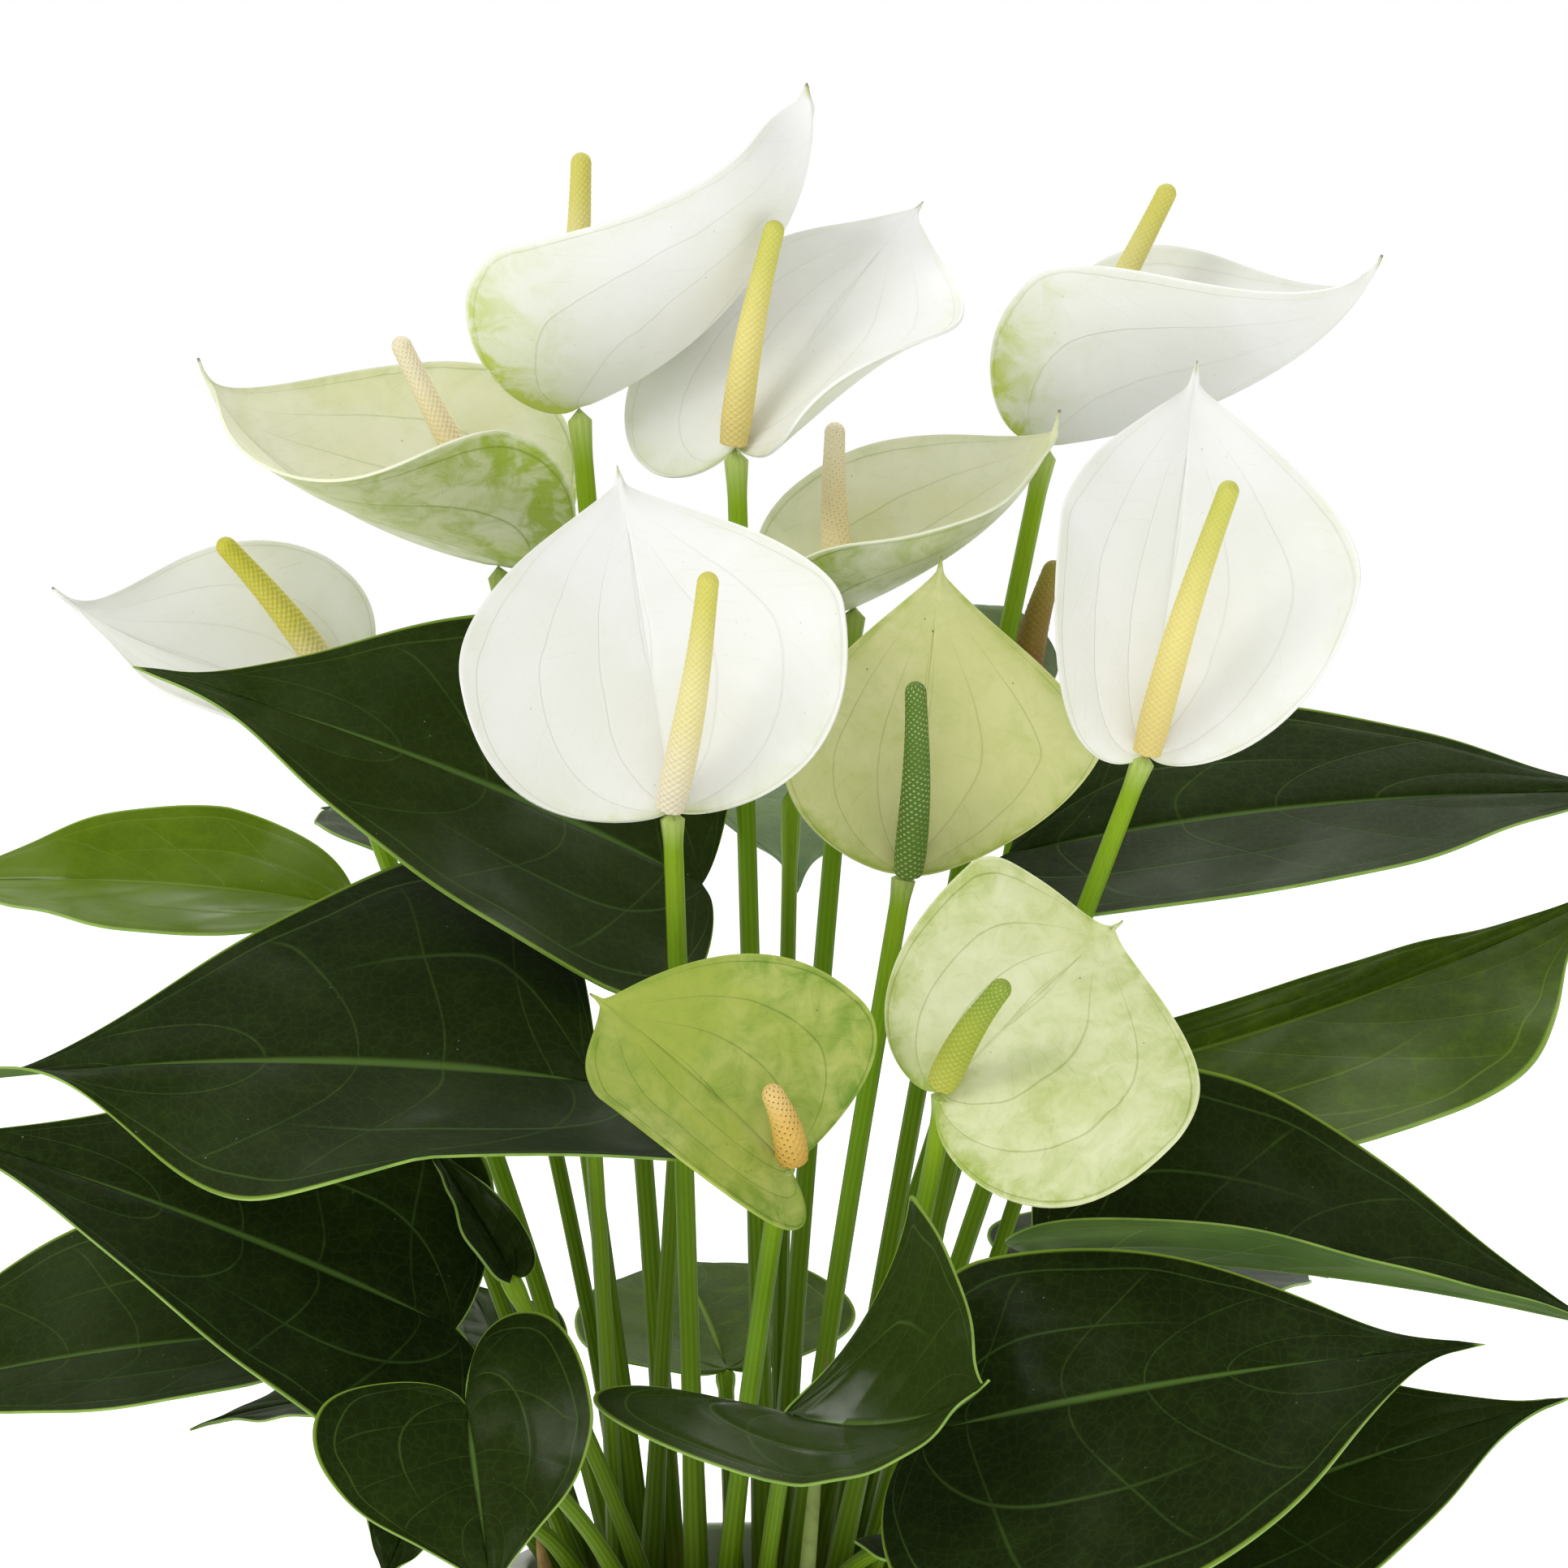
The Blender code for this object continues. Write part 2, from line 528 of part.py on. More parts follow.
def make_flower(name, spec, collection):
    """Stalk, spathe and spadix. The spadix stands clear of the spathe's fold, the stalk stops below it."""
    spathe_surface = material("spathe_" + name, spec["colour"], 0.4)
    blade("spathe_" + name, spec, SPATHE_SHAPE, spathe_surface, collection)
    forward, normal, _ = blade_frame(spec)
    base = on_plant(spec, "base")

    foot = on_soil(spec["foot"])
    lead = unit(base - foot)
    clear = BLADE_THICKNESS + STALK_RADIUS * STALK_CLEARANCE + GAP
    path = stalk_path(foot, base - lead * clear, spec.get("rise", DEFAULT_RISE), spec.get("arrive"))
    radii = STALK_RADIUS * np.linspace(STALK_FOOT_SWELL, 1.0, STALK_POINTS)
    tube("stalk_" + name, path, radii, collection, material("stalk_" + name, STALK_GREEN, 0.4))

    steepest = math.radians(max(max(np.atleast_1d(spec["fold"])), 0))
    stand_off = (SPADIX_RADIUS + BLADE_THICKNESS) / math.cos(steepest) + SPADIX_STAND * MM
    start = base + normal * stand_off + forward * SPADIX_FORWARD * MM
    end = on_plant(spec, "spadix")
    share = np.array([0.0, 0.02, 0.07, 0.30, 0.60, 0.85, 0.95, 0.985, 1.0])
    girth = np.array([0.60, 0.85, 0.96, 1.0, 0.89, 0.78, 0.68, 0.48, 0.22])
    spine = start + (end - start) * share[:, None]
    colour = spec.get("spadix_colour", YELLOW)
    surface = material("spadix_" + name, colour, 0.6)
    tube("spadix_" + name, spine, SPADIX_RADIUS * girth, collection, surface, sides_code=2)


def make_leaf(name, spec, collection, helpers):
    """A blade fused to its petiole."""
    leaf_surface = material("leaf_" + name, spec.get("colour", DARK_LEAF), 0.3)
    leaf = blade("leaf_" + name, spec, LEAF_SHAPE, leaf_surface, collection)
    forward, _, _ = blade_frame(spec)
    foot = leaf_foot(spec["foot"])
    joint = on_plant(spec, "base") + forward * PETIOLE_ROOT
    end = joint + unit(joint - foot) * BLADE_THICKNESS
    path = stalk_path(foot, end, spec.get("rise", DEFAULT_RISE))
    radii = PETIOLE_RADIUS * np.linspace(STALK_FOOT_SWELL, 1.0, STALK_POINTS)
    petiole = tube_as_mesh(tube("petiole_" + name, path, radii, helpers), helpers)
    union = leaf.modifiers.new("Petiole", "BOOLEAN")
    union.operation = "UNION"
    union.solver = "EXACT"
    union.object = petiole


for old in list(bpy.data.objects):
    bpy.data.objects.remove(old, do_unlink=True)

plant = bpy.data.collections.new("Potted anthurium")
helpers = bpy.data.collections.new("Cutters")
bpy.context.scene.collection.children.link(plant)
bpy.context.scene.collection.children.link(helpers)

make_pot(plant)
make_soil(plant)
for flower_name, flower in FLOWERS.items():
    make_flower(flower_name, flower, plant)
for leaf_name, leaf_spec in LEAVES.items():
    make_leaf(leaf_name, leaf_spec, plant, helpers)
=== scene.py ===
"""Potted anthurium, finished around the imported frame. Metres, +Z up, the front at -Y."""

import math
import random

import bpy
import numpy as np
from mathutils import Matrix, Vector, noise


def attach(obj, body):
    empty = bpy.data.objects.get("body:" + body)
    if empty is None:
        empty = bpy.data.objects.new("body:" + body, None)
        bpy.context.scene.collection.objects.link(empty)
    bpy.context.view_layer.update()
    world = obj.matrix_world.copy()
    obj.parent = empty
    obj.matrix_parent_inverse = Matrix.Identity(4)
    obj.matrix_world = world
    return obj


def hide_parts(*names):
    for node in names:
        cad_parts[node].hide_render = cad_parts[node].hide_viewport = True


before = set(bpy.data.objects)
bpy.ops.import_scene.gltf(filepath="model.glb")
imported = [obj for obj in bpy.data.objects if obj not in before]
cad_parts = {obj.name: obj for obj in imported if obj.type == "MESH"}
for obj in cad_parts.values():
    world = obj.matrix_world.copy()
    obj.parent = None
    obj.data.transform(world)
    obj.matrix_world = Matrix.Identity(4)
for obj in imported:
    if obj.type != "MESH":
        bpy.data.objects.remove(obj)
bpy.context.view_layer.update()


# ---- Pot ----
# A plain round cover pot, cast in clay and glazed a pale warm grey. Its wall tapers to a flat foot
# with a wiped, unglazed edge, and a low band runs round under a rounded lip.

POT_HEIGHT = 0.120
POT_RIM_RADIUS = 0.065
POT_FOOT_RADIUS = 0.047
POT_WALL = 0.0045
POT_FLOOR = 0.006
RIM_BAND_HEIGHT = 0.011
RIM_BAND_STEP = 0.0018
SOIL_TOP = 0.105
GAP = 0.0003
POT_SIDES = 144


class Wire:
    """A number on its way through a shader, which takes the signs of arithmetic."""

    def __init__(self, finish, socket):
        self.finish = finish
        self.socket = socket

    def maths(self, operation, first, second=0.0):
        return self.finish.add("ShaderNodeMath", {"operation": operation}, {0: first, 1: second})

    def __add__(self, other):
        return self.maths("ADD", self, other)

    def __sub__(self, other):
        return self.maths("SUBTRACT", self, other)

    def __mul__(self, other):
        return self.maths("MULTIPLY", self, other)

    def __truediv__(self, other):
        return self.maths("DIVIDE", self, other)

    def __pow__(self, other):
        return self.maths("POWER", self, other)

    def __radd__(self, other):
        return self.maths("ADD", other, self)

    def __rsub__(self, other):
        return self.maths("SUBTRACT", other, self)

    def __rmul__(self, other):
        return self.maths("MULTIPLY", other, self)

    def __abs__(self):
        return self.maths("ABSOLUTE", self)

    def greater(self, other):
        return self.maths("MAXIMUM", self, other)

    def lesser(self, other):
        return self.maths("MINIMUM", self, other)

    def sine(self):
        return self.maths("SINE", self)

    def off_line(self):
        """How far a number is from the nearest whole one, from 0 to 0.5."""
        return self.maths("PINGPONG", self, 0.5)

    def rise(self, low, high):
        """0 below low, 1 above high, smooth between them."""
        values = {"Value": self, "From Min": low, "From Max": high}
        return self.finish.add("ShaderNodeMapRange", {"interpolation_type": "SMOOTHSTEP"}, values)

    def fall(self, low, high):
        return 1 - self.rise(low, high)


class Finish:
    """One procedural material."""

    def __init__(self, name, **constants):
        self.material = bpy.data.materials.new(name)
        self.material.use_nodes = True
        self.tree = self.material.node_tree
        self.shader = self.tree.nodes["Principled BSDF"]
        for socket, value in constants.items():
            self.shader.inputs[socket.replace("_", " ")].default_value = value

    def add(self, kind, settings, values, output=0):
        """Adds a node: its settings first, then a value or a link for each socket."""
        made = self.tree.nodes.new(kind)
        for key, value in settings.items():
            setattr(made, key, value)
        for key, value in values.items():
            self.join(value, made.inputs[key])
        return Wire(self, made.outputs[output])

    def join(self, value, socket):
        if isinstance(value, Wire):
            self.tree.links.new(value.socket, socket)
        else:
            socket.default_value = value

    def place(self):
        return self.add("ShaderNodeTexCoord", {}, {}, "Object")

    def along(self):
        """The piece's own two map directions."""
        uv = self.add("ShaderNodeUVMap", {}, {})
        split = self.add("ShaderNodeSeparateXYZ", {}, {0: uv}, "X")
        return split, Wire(self, split.socket.node.outputs["Y"])

    def cloud(self, scale, detail=3.0, rough=0.5, warp=0.0, stretch=None):
        """Soft noise over the piece, from 0 to 1."""
        where = self.place()
        if stretch:
            where = self.add("ShaderNodeMapping", {}, {"Vector": where, "Scale": stretch})
        values = {"Vector": where, "Scale": scale, "Detail": detail, "Roughness": rough}
        values["Distortion"] = warp
        return self.add("ShaderNodeTexNoise", {}, values)

    def cells(self, scale, feature="F1", jitter=1.0):
        """Distance to the nearest of many scattered points."""
        values = {"Vector": self.place(), "Scale": scale, "Randomness": jitter}
        return self.add("ShaderNodeTexVoronoi", {"feature": feature}, values)

    def mix(self, share, first, second):
        """Blends two colours."""
        first, second = [c if isinstance(c, Wire) else (*c, 1.0) for c in (first, second)]
        values = {0: share, 6: first, 7: second}
        return self.add("ShaderNodeMix", {"data_type": "RGBA"}, values, 2)

    def bump(self, height, depth, strength=1.0):
        values = {"Height": height, "Distance": depth, "Strength": strength}
        self.join(self.add("ShaderNodeBump", {}, values), self.shader.inputs["Normal"])

    def wear(self, colour, roughness=None, coat=None):
        """Puts the worked-out colour and roughness on the shader."""
        self.join(colour, self.shader.inputs["Base Color"])
        if roughness is not None:
            self.join(roughness, self.shader.inputs["Roughness"])
        if coat is not None:
            self.join(coat, self.shader.inputs["Coat Weight"])
        return self.material


def select_only(piece):
    bpy.ops.object.select_all(action="DESELECT")
    piece.select_set(True)
    bpy.context.view_layer.objects.active = piece


def root_piece(piece, name, slot, *nodes):
    """Names a finished piece, hangs it on the root body and hides the imported parts it replaces."""
    piece.name = name
    piece.data.name = name
    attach(piece, "root")
    if nodes:
        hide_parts(*nodes)
    return piece


def glaze_finish():
    glaze = Finish("pot_glaze", Coat_Roughness=0.12, Specular_IOR_Level=0.45)
    height = glaze.add("ShaderNodeSeparateXYZ", {}, {0: glaze.place()}, "Z")
    drift = glaze.cloud(22, 4, 0.55)
    grain = glaze.cloud(900, 2, 0.6)
    dust = glaze.cells(420).fall(0.10, 0.16) * glaze.cloud(60).rise(0.50, 0.62)
    pale = glaze.mix(drift.rise(0.3, 0.7), (0.62, 0.62, 0.585), (0.71, 0.71, 0.68))
    freckled = glaze.mix(dust * 0.55, pale, (0.20, 0.18, 0.15))
    thin_edge = (abs(height - (POT_HEIGHT - 0.0006))).fall(0.0, 0.0012) * 0.35
    worn = glaze.mix(thin_edge, freckled, (0.50, 0.46, 0.40))
    bare_foot = height.fall(0.0012, 0.0024)
    clay = glaze.mix(grain, (0.42, 0.35, 0.27), (0.52, 0.45, 0.36))
    glaze.bump(drift * 0.5 + grain * 0.12 - dust * 0.4, 0.0005, 0.5)
    rough = 0.34 + drift * 0.14 + bare_foot * 0.4
    return glaze.wear(glaze.mix(bare_foot, worn, clay), rough, 0.35 - bare_foot * 0.35)


def corner(centre, radius, start, end, steps=5):
    """Rings of a rounded edge, as (radius, height), from one angle to another in degrees."""
    turns = [math.radians(start + (end - start) * i / steps) for i in range(steps + 1)]
    return [(centre[0] + radius * math.cos(a), centre[1] + radius * math.sin(a)) for a in turns]


def inner_radius(height):
    outer = POT_FOOT_RADIUS + (POT_RIM_RADIUS - RIM_BAND_STEP - POT_FOOT_RADIUS) * height / POT_HEIGHT
    return outer - POT_WALL


def turn_up(rings, sides):
    """A solid grown from a disc, ring by ring, as clay is drawn up on a wheel."""
    bpy.ops.object.select_all(action="DESELECT")
    first_radius, first_height = rings[0]
    bpy.ops.mesh.primitive_circle_add(
        vertices=sides, radius=first_radius, fill_type="NGON", location=(0, 0, first_height)
    )
    piece = bpy.context.active_object
    bpy.ops.object.transform_apply(location=True, rotation=True, scale=True)
    bpy.ops.object.mode_set(mode="EDIT")
    bpy.ops.mesh.select_all(action="SELECT")
    for (radius, height), (next_radius, next_height) in zip(rings, rings[1:]):
        lift = (0, 0, next_height - height)
        bpy.ops.mesh.extrude_region_move(TRANSFORM_OT_translate={"value": lift})
        grow = next_radius / radius
        bpy.ops.transform.resize(value=(grow, grow, 1), center_override=(0, 0, next_height))
    bpy.ops.mesh.select_all(action="SELECT")
    bpy.ops.mesh.normals_make_consistent(inside=False)
    bpy.ops.object.mode_set(mode="OBJECT")
    return piece


lip = POT_WALL * 0.45
band_foot = POT_HEIGHT - RIM_BAND_HEIGHT
wall_at_band = inner_radius(band_foot) + POT_WALL
wall_rings = [
    (POT_FOOT_RADIUS + (wall_at_band - POT_FOOT_RADIUS) * share, 0.0018 + (band_foot - 0.0036) * share)
    for share in np.linspace(0.0, 1.0, 15)
]
inside_rings = [(inner_radius(height), height) for height in np.linspace(0.113, POT_FLOOR + 0.004, 12)]
pot_rings = (
    [(POT_FOOT_RADIUS - 0.006, 0.0), (POT_FOOT_RADIUS - 0.0018, 0.0)]
    + corner((POT_FOOT_RADIUS - 0.0014, 0.0014), 0.0014, -80, 0, 4)
    + wall_rings
    + corner((wall_at_band + 0.0006, band_foot - 0.0012), 0.0006, 180, 90, 3)
    + corner((POT_RIM_RADIUS - 0.0012, band_foot + 0.0006), 0.0012, -90, 0, 4)
    + corner((POT_RIM_RADIUS - lip, POT_HEIGHT - lip), lip, 0, 90, 7)
    + corner((inner_radius(POT_HEIGHT) + lip, POT_HEIGHT - lip), lip, 90, 180, 7)
    + inside_rings
    + corner((inner_radius(POT_FLOOR) - 0.004, POT_FLOOR + 0.004), 0.004, 0, -90, 5)
)
pot = turn_up(pot_rings, POT_SIDES)
for vertex in pot.data.vertices:
    around = Vector((vertex.co.x, vertex.co.y, 0.0))
    wander = noise.noise(Vector((vertex.co.x * 30, vertex.co.y * 30, vertex.co.z * 45)))
    if 0.004 < vertex.co.z < band_foot - 0.003 and around.length > inner_radius(vertex.co.z) + 0.002:
        vertex.co += around.normalized() * wander * 0.00022
pot.data.materials.append(glaze_finish())
select_only(pot)
bpy.ops.object.shade_smooth_by_angle(angle=math.radians(40))
root_piece(pot, "glazed_pot", "pot_glaze", "pot")


# ---- Soil ----
# Damp potting mix of peat, bark and a little white perlite, lumpy on top and filling the pot to just
# under the rim.

SOIL_RINGS = 60
CRUMBS = 520
chance = random.Random(11)


def soil_finish(name, dark, light, specks):
    soil = Finish(name, Specular_IOR_Level=0.25)
    lumps = soil.cloud(140, 6, 0.65)
    grain = soil.cloud(700, 3, 0.7)
    flecks = soil.cells(520).fall(0.12, 0.2) * soil.cloud(130).rise(0.52, 0.6) * specks
    earth = soil.mix(lumps.rise(0.35, 0.68), dark, light)
    soil.bump(lumps + grain * 0.5, 0.0012, 0.8)
    return soil.wear(soil.mix(flecks, earth, (0.55, 0.50, 0.42)), 0.78 + grain * 0.2)


def new_sheet(cells_across, cells_along):
    """A flat grid ready to be shaped, with each point's two shares from 0 to 1."""
    bpy.ops.object.select_all(action="DESELECT")
    bpy.ops.mesh.primitive_grid_add(x_subdivisions=cells_across, y_subdivisions=cells_along, size=1)
    piece = bpy.context.active_object
    flat = np.empty(len(piece.data.vertices) * 3)
    piece.data.vertices.foreach_get("co", flat)
    flat = flat.reshape(-1, 3)
    return piece, flat[:, 0] + 0.5, flat[:, 1] + 0.5


def shape_sheet(piece, places, closed=False):
    """Puts the grid's points in their places and welds those that meet."""
    piece.data.vertices.foreach_set("co", np.asarray(places, np.float32).ravel())
    piece.data.update()
    select_only(piece)
    bpy.ops.object.mode_set(mode="EDIT")
    bpy.ops.mesh.select_all(action="SELECT")
    bpy.ops.mesh.remove_doubles(threshold=0.000002)
    if closed:
        bpy.ops.mesh.normals_make_consistent(inside=False)
    bpy.ops.object.mode_set(mode="OBJECT")
    return piece


soil, around, outward = new_sheet(120, SOIL_RINGS)
soil_radius = inner_radius(SOIL_TOP) - GAP
profile_radius = np.interp(outward, [0.0, 0.8, 0.9, 1.0], [0.0, soil_radius, inner_radius(0.075), 0.0])
profile_height = np.interp(outward, [0.0, 0.8, 0.9, 1.0], [SOIL_TOP, SOIL_TOP, 0.075, 0.075])
turn = 2 * math.pi * around
soil_x, soil_y = profile_radius * np.cos(turn), profile_radius * np.sin(turn)
lumps = np.array(
    [
        noise.fractal(Vector((x * 190, y * 190, 3.0)), 0.9, 2.0, 5) * 0.0011
        + noise.noise(Vector((x * 45, y * 45, 7.0))) * 0.0012
        for x, y in zip(soil_x, soil_y)
    ]
)
profile_height = profile_height + np.where(outward < 0.79, lumps + 0.0006, 0.0)
shape_sheet(soil, np.stack([soil_x, soil_y, profile_height], -1), closed=True)
soil.data.materials.append(soil_finish("potting_mix", (0.012, 0.008, 0.005), (0.055, 0.034, 0.020), 0.5))
select_only(soil)
bpy.ops.object.shade_smooth()
root_piece(soil, "potting_soil", "soil", "soil")


def scatter_crumbs(name, finish, count, sizes, squash):
    """Many small angular lumps lying on the soil, as one mesh."""
    bpy.ops.object.select_all(action="DESELECT")
    bpy.ops.mesh.primitive_ico_sphere_add(subdivisions=2, radius=1.0)
    lump = bpy.context.active_object
    corners = np.array([vertex.co for vertex in lump.data.vertices])
    faces = np.array([face.vertices for face in lump.data.polygons])
    places, skins = [], []
    for number in range(count):
        size = chance.uniform(*sizes)
        drift = Vector((number * 9.1, 0, 0))
        rough = np.array([1 + 0.35 * noise.noise(Vector(c * 1.6) + drift) for c in corners])
        flatten = np.array([1.0, chance.uniform(*squash), chance.uniform(0.35, 0.8)])
        shape = corners * rough[:, None] * flatten
        spin, tilt = chance.uniform(0, 2 * math.pi), chance.uniform(-0.5, 0.5)
        rise, run = math.sin(tilt), math.cos(tilt)
        lean = np.array([[1, 0, 0], [0, run, -rise], [0, rise, run]])
        rise, run = math.sin(spin), math.cos(spin)
        swing = np.array([[run, -rise, 0], [rise, run, 0], [0, 0, 1]])
        reach = (soil_radius - 0.003) * math.sqrt(chance.random())
        angle = chance.uniform(0, 2 * math.pi)
        spot = np.array([reach * math.cos(angle), reach * math.sin(angle), SOIL_TOP + size * 0.25])
        places.append(shape @ lean.T @ swing.T * size + spot)
        skins.append(faces + number * len(corners))
    mesh = bpy.data.meshes.new(name)
    mesh.from_pydata(np.concatenate(places).tolist(), [], np.concatenate(skins).tolist())
    lump.data = mesh
    mesh.materials.append(finish)
    select_only(lump)
    bpy.ops.object.shade_smooth_by_angle(angle=math.radians(35))
    return root_piece(lump, name, "soil")


bark = soil_finish("bark_chips", (0.035, 0.018, 0.009), (0.13, 0.075, 0.038), 0.0)
peat = soil_finish("peat_crumbs", (0.010, 0.007, 0.004), (0.045, 0.028, 0.016), 0.2)
perlite = soil_finish("perlite_grains", (0.52, 0.50, 0.46), (0.70, 0.69, 0.65), 0.0)
scatter_crumbs("soil_bark", bark, 70, (0.0016, 0.0034), (0.25, 0.5))
scatter_crumbs("soil_crumbs", peat, CRUMBS, (0.0006, 0.0016), (0.5, 0.9))
scatter_crumbs("soil_perlite", perlite, 34, (0.0006, 0.0012), (0.7, 1.0))


# ---- Leaves ----
# Each leaf grew as one piece: a leathery heart-shaped blade, dark and waxy above and dull below,
# hung by a swollen joint on a long petiole that sheathes its neighbours at the foot. base is the
# joint and tip the drip tip, in millimetres from the middle of the soil; foot is a share of the
# planting circle. A pair gives the two halves of a blade, the left one seen from the base first.

MM = 0.001
PLANTING_RADIUS = inner_radius(SOIL_TOP) - GAP - 0.0065
PETIOLE_RADIUS = 0.0022
UPRIGHT_RUN = 0.004
BLADE_CELLS = (84, 56)
LEAF_THICKNESS = 0.0007
VEIN_SPACING = 0.165
VEIN_LEAN = 0.24
WIDEST_SHARE = 0.36
CUSP_SHARE = 0.94
CUSP_HALF_WIDTH = 0.010
BULGE_OF_WIDEST = 0.09
BULGE_OF_HANDLE = 0.74
MIDRIB_CROWDING = 1.25
MIDRIB_STEPS = 200
FLICK_FROM = 0.55
DEFAULT_BEND = 20
DEFAULT_FOLD = 5
DEFAULT_CURL = 10
RELIEF_STEP = 0.004
DEFAULT_RISE = 0.33
LEAN_AT_FOOT = 0.25
REACH_AT_TOP = 0.3
FOOT_SINKS = 0.004
PETIOLE_POINTS = 64

LEAF_SHAPE = dict(
    half=0.31, lobe=0.17, widest=0.16, notch=0.05, shoulder=0.45, taper=0.22, cusp=0.05, hip=1.0
)

LEAVES = {
    "upper_left": dict(
        base=(-12, 2, 198), tip=(-162, -18, 257), face=(0, -0.7, 0.7), foot=(-0.52, -0.08),
        half=(0.36, 0.38), curl=15, shoulder=(0.45, 0.50), lobe=(0.03, 0.0), tone=0.55,
    ),
    "broad_left": dict(
        base=(-38, -60, 151), tip=(-194, -90, 155), face=(0, -0.6, 0.8), foot=(-0.68, -0.32),
        half=(0.42, 0.56), fold=(0, 5), curl=(30, -5), widest=(0.35, 0.06), shoulder=(0.45, 0.30),
        lobe=(0.16, 0.0), wave=14, wave_side=(1, 0), wave_count=1.3, wave_start=-0.075, tone=0.25,
    ),
    "pale_left": dict(
        base=(-108, 20, 191), tip=(-238, 40, 194), face=(0, -0.5, 0.85), foot=(-0.84, 0.32),
        half=(0.28, 0.22), fold=10, lobe=0.0, widest=0.3, hip=0.3, pale=True, tone=0.8, gloss=0.6,
    ),
    "drooping_left": dict(
        base=(-75, -60, 87), tip=(-217, -50, 139), face=(0.1, -0.75, 0.65), foot=(-0.84, -0.20),
        half=(0.32, 0.34), lobe=(0.1, 0.0), widest=(0.10, 0.16), shoulder=(0.20, 0.45), tone=0.1,
    ),
    "lower_left": dict(
        base=(-127, -20, 80), tip=(-258, 0, 52), face=(0, -0.6, 0.8), foot=(-0.92, 0.06),
        half=(0.20, 0.36), lobe=0.05, tone=0.45,
    ),
    "shaded_left": dict(
        base=(-88, 24, 58), tip=(-153, 32, 46), face=(0, -0.3, 0.95), foot=(-0.86, 0.52), half=0.30,
        lobe=0.05, tone=0.5,
    ),
    "front_heart": dict(
        base=(-70, -100, 73), tip=(-62, -125, 26), face=(0, -0.85, 0.5), foot=(-0.56, -0.74),
        half=(0.60, 0.75), fold=10, lobe=(0.45, 0.15), tone=0.35,
    ),
    "young": dict(
        base=(-61, -50, 100), tip=(-85, -40, 135), face=(0.4, -0.7, 0.5), foot=(-0.48, -0.50),
        half=(0.30, 0.20), fold=30, lobe=0.05, tone=0.3,
    ),
    "front_cupped": dict(
        base=(10, -90, 70), tip=(61, -120, 83), face=(-0.1, -0.5, 0.85), foot=(0.08, -0.86),
        half=(0.92, 0.40), fold=(25, 0), curl=(30, 0), bend=-60, lobe=(-0.07, 0.75),
        widest=(0.68, 0.20), notch=(0.0, 0.05), hip=(0.0, 1.0), shoulder=(0.95, 0.45),
        taper=(0.05, 0.20), tone=0.9, gloss=0.8,
    ),
    "upper_right": dict(
        base=(71, 22, 205), tip=(255, 36, 220), face=(0, -0.6, 0.8), foot=(0.68, 0.16),
        half=(0.24, 0.26), curl=(5, 20), shoulder=(0.50, 0.60), lobe=(-0.03, 0.10), hip=(0.3, 1.0),
        tone=0.35, gloss=0.06,
    ),
    "pale_right": dict(
        base=(82, 38, 140), tip=(251, 56, 198), face=(0, -0.6, 0.8), foot=(0.86, 0.28),
        half=(0.07, 0.35), widest=(0.40, 0.55), shoulder=(0.45, 0.60), lobe=0.05, bend=-20, pale=True,
        tone=0.2, gloss=0.12,
    ),
    "mid_right": dict(
        base=(76, -44, 104), tip=(233, -34, 82), face=(0.1, -0.6, 0.8), foot=(0.78, -0.20),
        half=(0.38, 0.14), fold=(10, 60), curl=(10, 20), lobe=(0.0, 0.05), tone=0.3,
    ),
    "broad_right": dict(
        base=(47, -70, 62), tip=(189, -80, 86), face=(0, -0.8, 0.6), foot=(0.58, -0.72),
        half=(0.29, 0.46), lobe=(0.0, 0.10), shoulder=(0.50, 0.65), tone=0.0,
    ),
    "lower_right": dict(
        base=(108, -20, 24), tip=(219, -20, 63), face=(0, -0.7, 0.7), foot=(0.84, -0.42),
        half=(0.30, 0.40), rise=0.6, tone=0.3,
    ),
    "back_left": dict(
        base=(-72, 78, 201), tip=(-127, 168, 209), face=(0, -0.3, 0.95), foot=(-0.62, 0.72), half=0.36,
        lobe=0.0, tone=0.6,
    ),
    "back_low": dict(
        base=(-6, 64, 58), tip=(-24, 160, 78), face=(0, -0.4, 0.9), foot=(-0.08, 0.76), half=0.40,
        lobe=0.03, pale=True, tone=0.3,
    ),
    "back_centre": dict(
        base=(12, 72, 222), tip=(14, 170, 184), face=(0, -0.2, 1), foot=(0.16, 0.80), half=0.32,
        lobe=0.0, tone=0.7,
    ),
    "small_front": dict(
        base=(43, -62, 34), tip=(66, -104, 28), face=(0, -0.5, 0.85), foot=(0.34, -0.82), half=0.36,
        rise=0.45, tone=0.2,
    ),
    "crinkled": dict(
        base=(-84, -60, 44), tip=(-93, -80, 23), face=(0, -0.6, 0.8), foot=(-0.78, -0.54), half=0.40,
        rise=0.5, tone=0.1,
    ),
    "inner_left": dict(
        base=(-66, 38, 64), tip=(-80, 80, 80), face=(0, -0.6, 0.8), foot=(-0.44, 0.54), half=0.40,
        tone=0.6,
    ),
    "back_right": dict(
        base=(84, 78, 200), tip=(154, 178, 214), face=(0, -0.3, 0.95), foot=(0.56, 0.66), half=0.34,
        lobe=0.0, tone=0.4,
    ),
    "back_low_right": dict(
        base=(92, 46, 80), tip=(170, 150, 72), face=(0, -0.3, 0.95), foot=(0.76, 0.52), half=0.34,
        lobe=0.0, tone=0.5,
    ),
}


def on_plant(point):
    return np.array(point, float) * MM + np.array([0.0, 0.0, SOIL_TOP])


def on_soil(share):
    return np.array([share[0] * PLANTING_RADIUS, share[1] * PLANTING_RADIUS, SOIL_TOP + GAP])


def unit(vector):
    vector = np.asarray(vector, float)
    return vector / np.linalg.norm(vector)


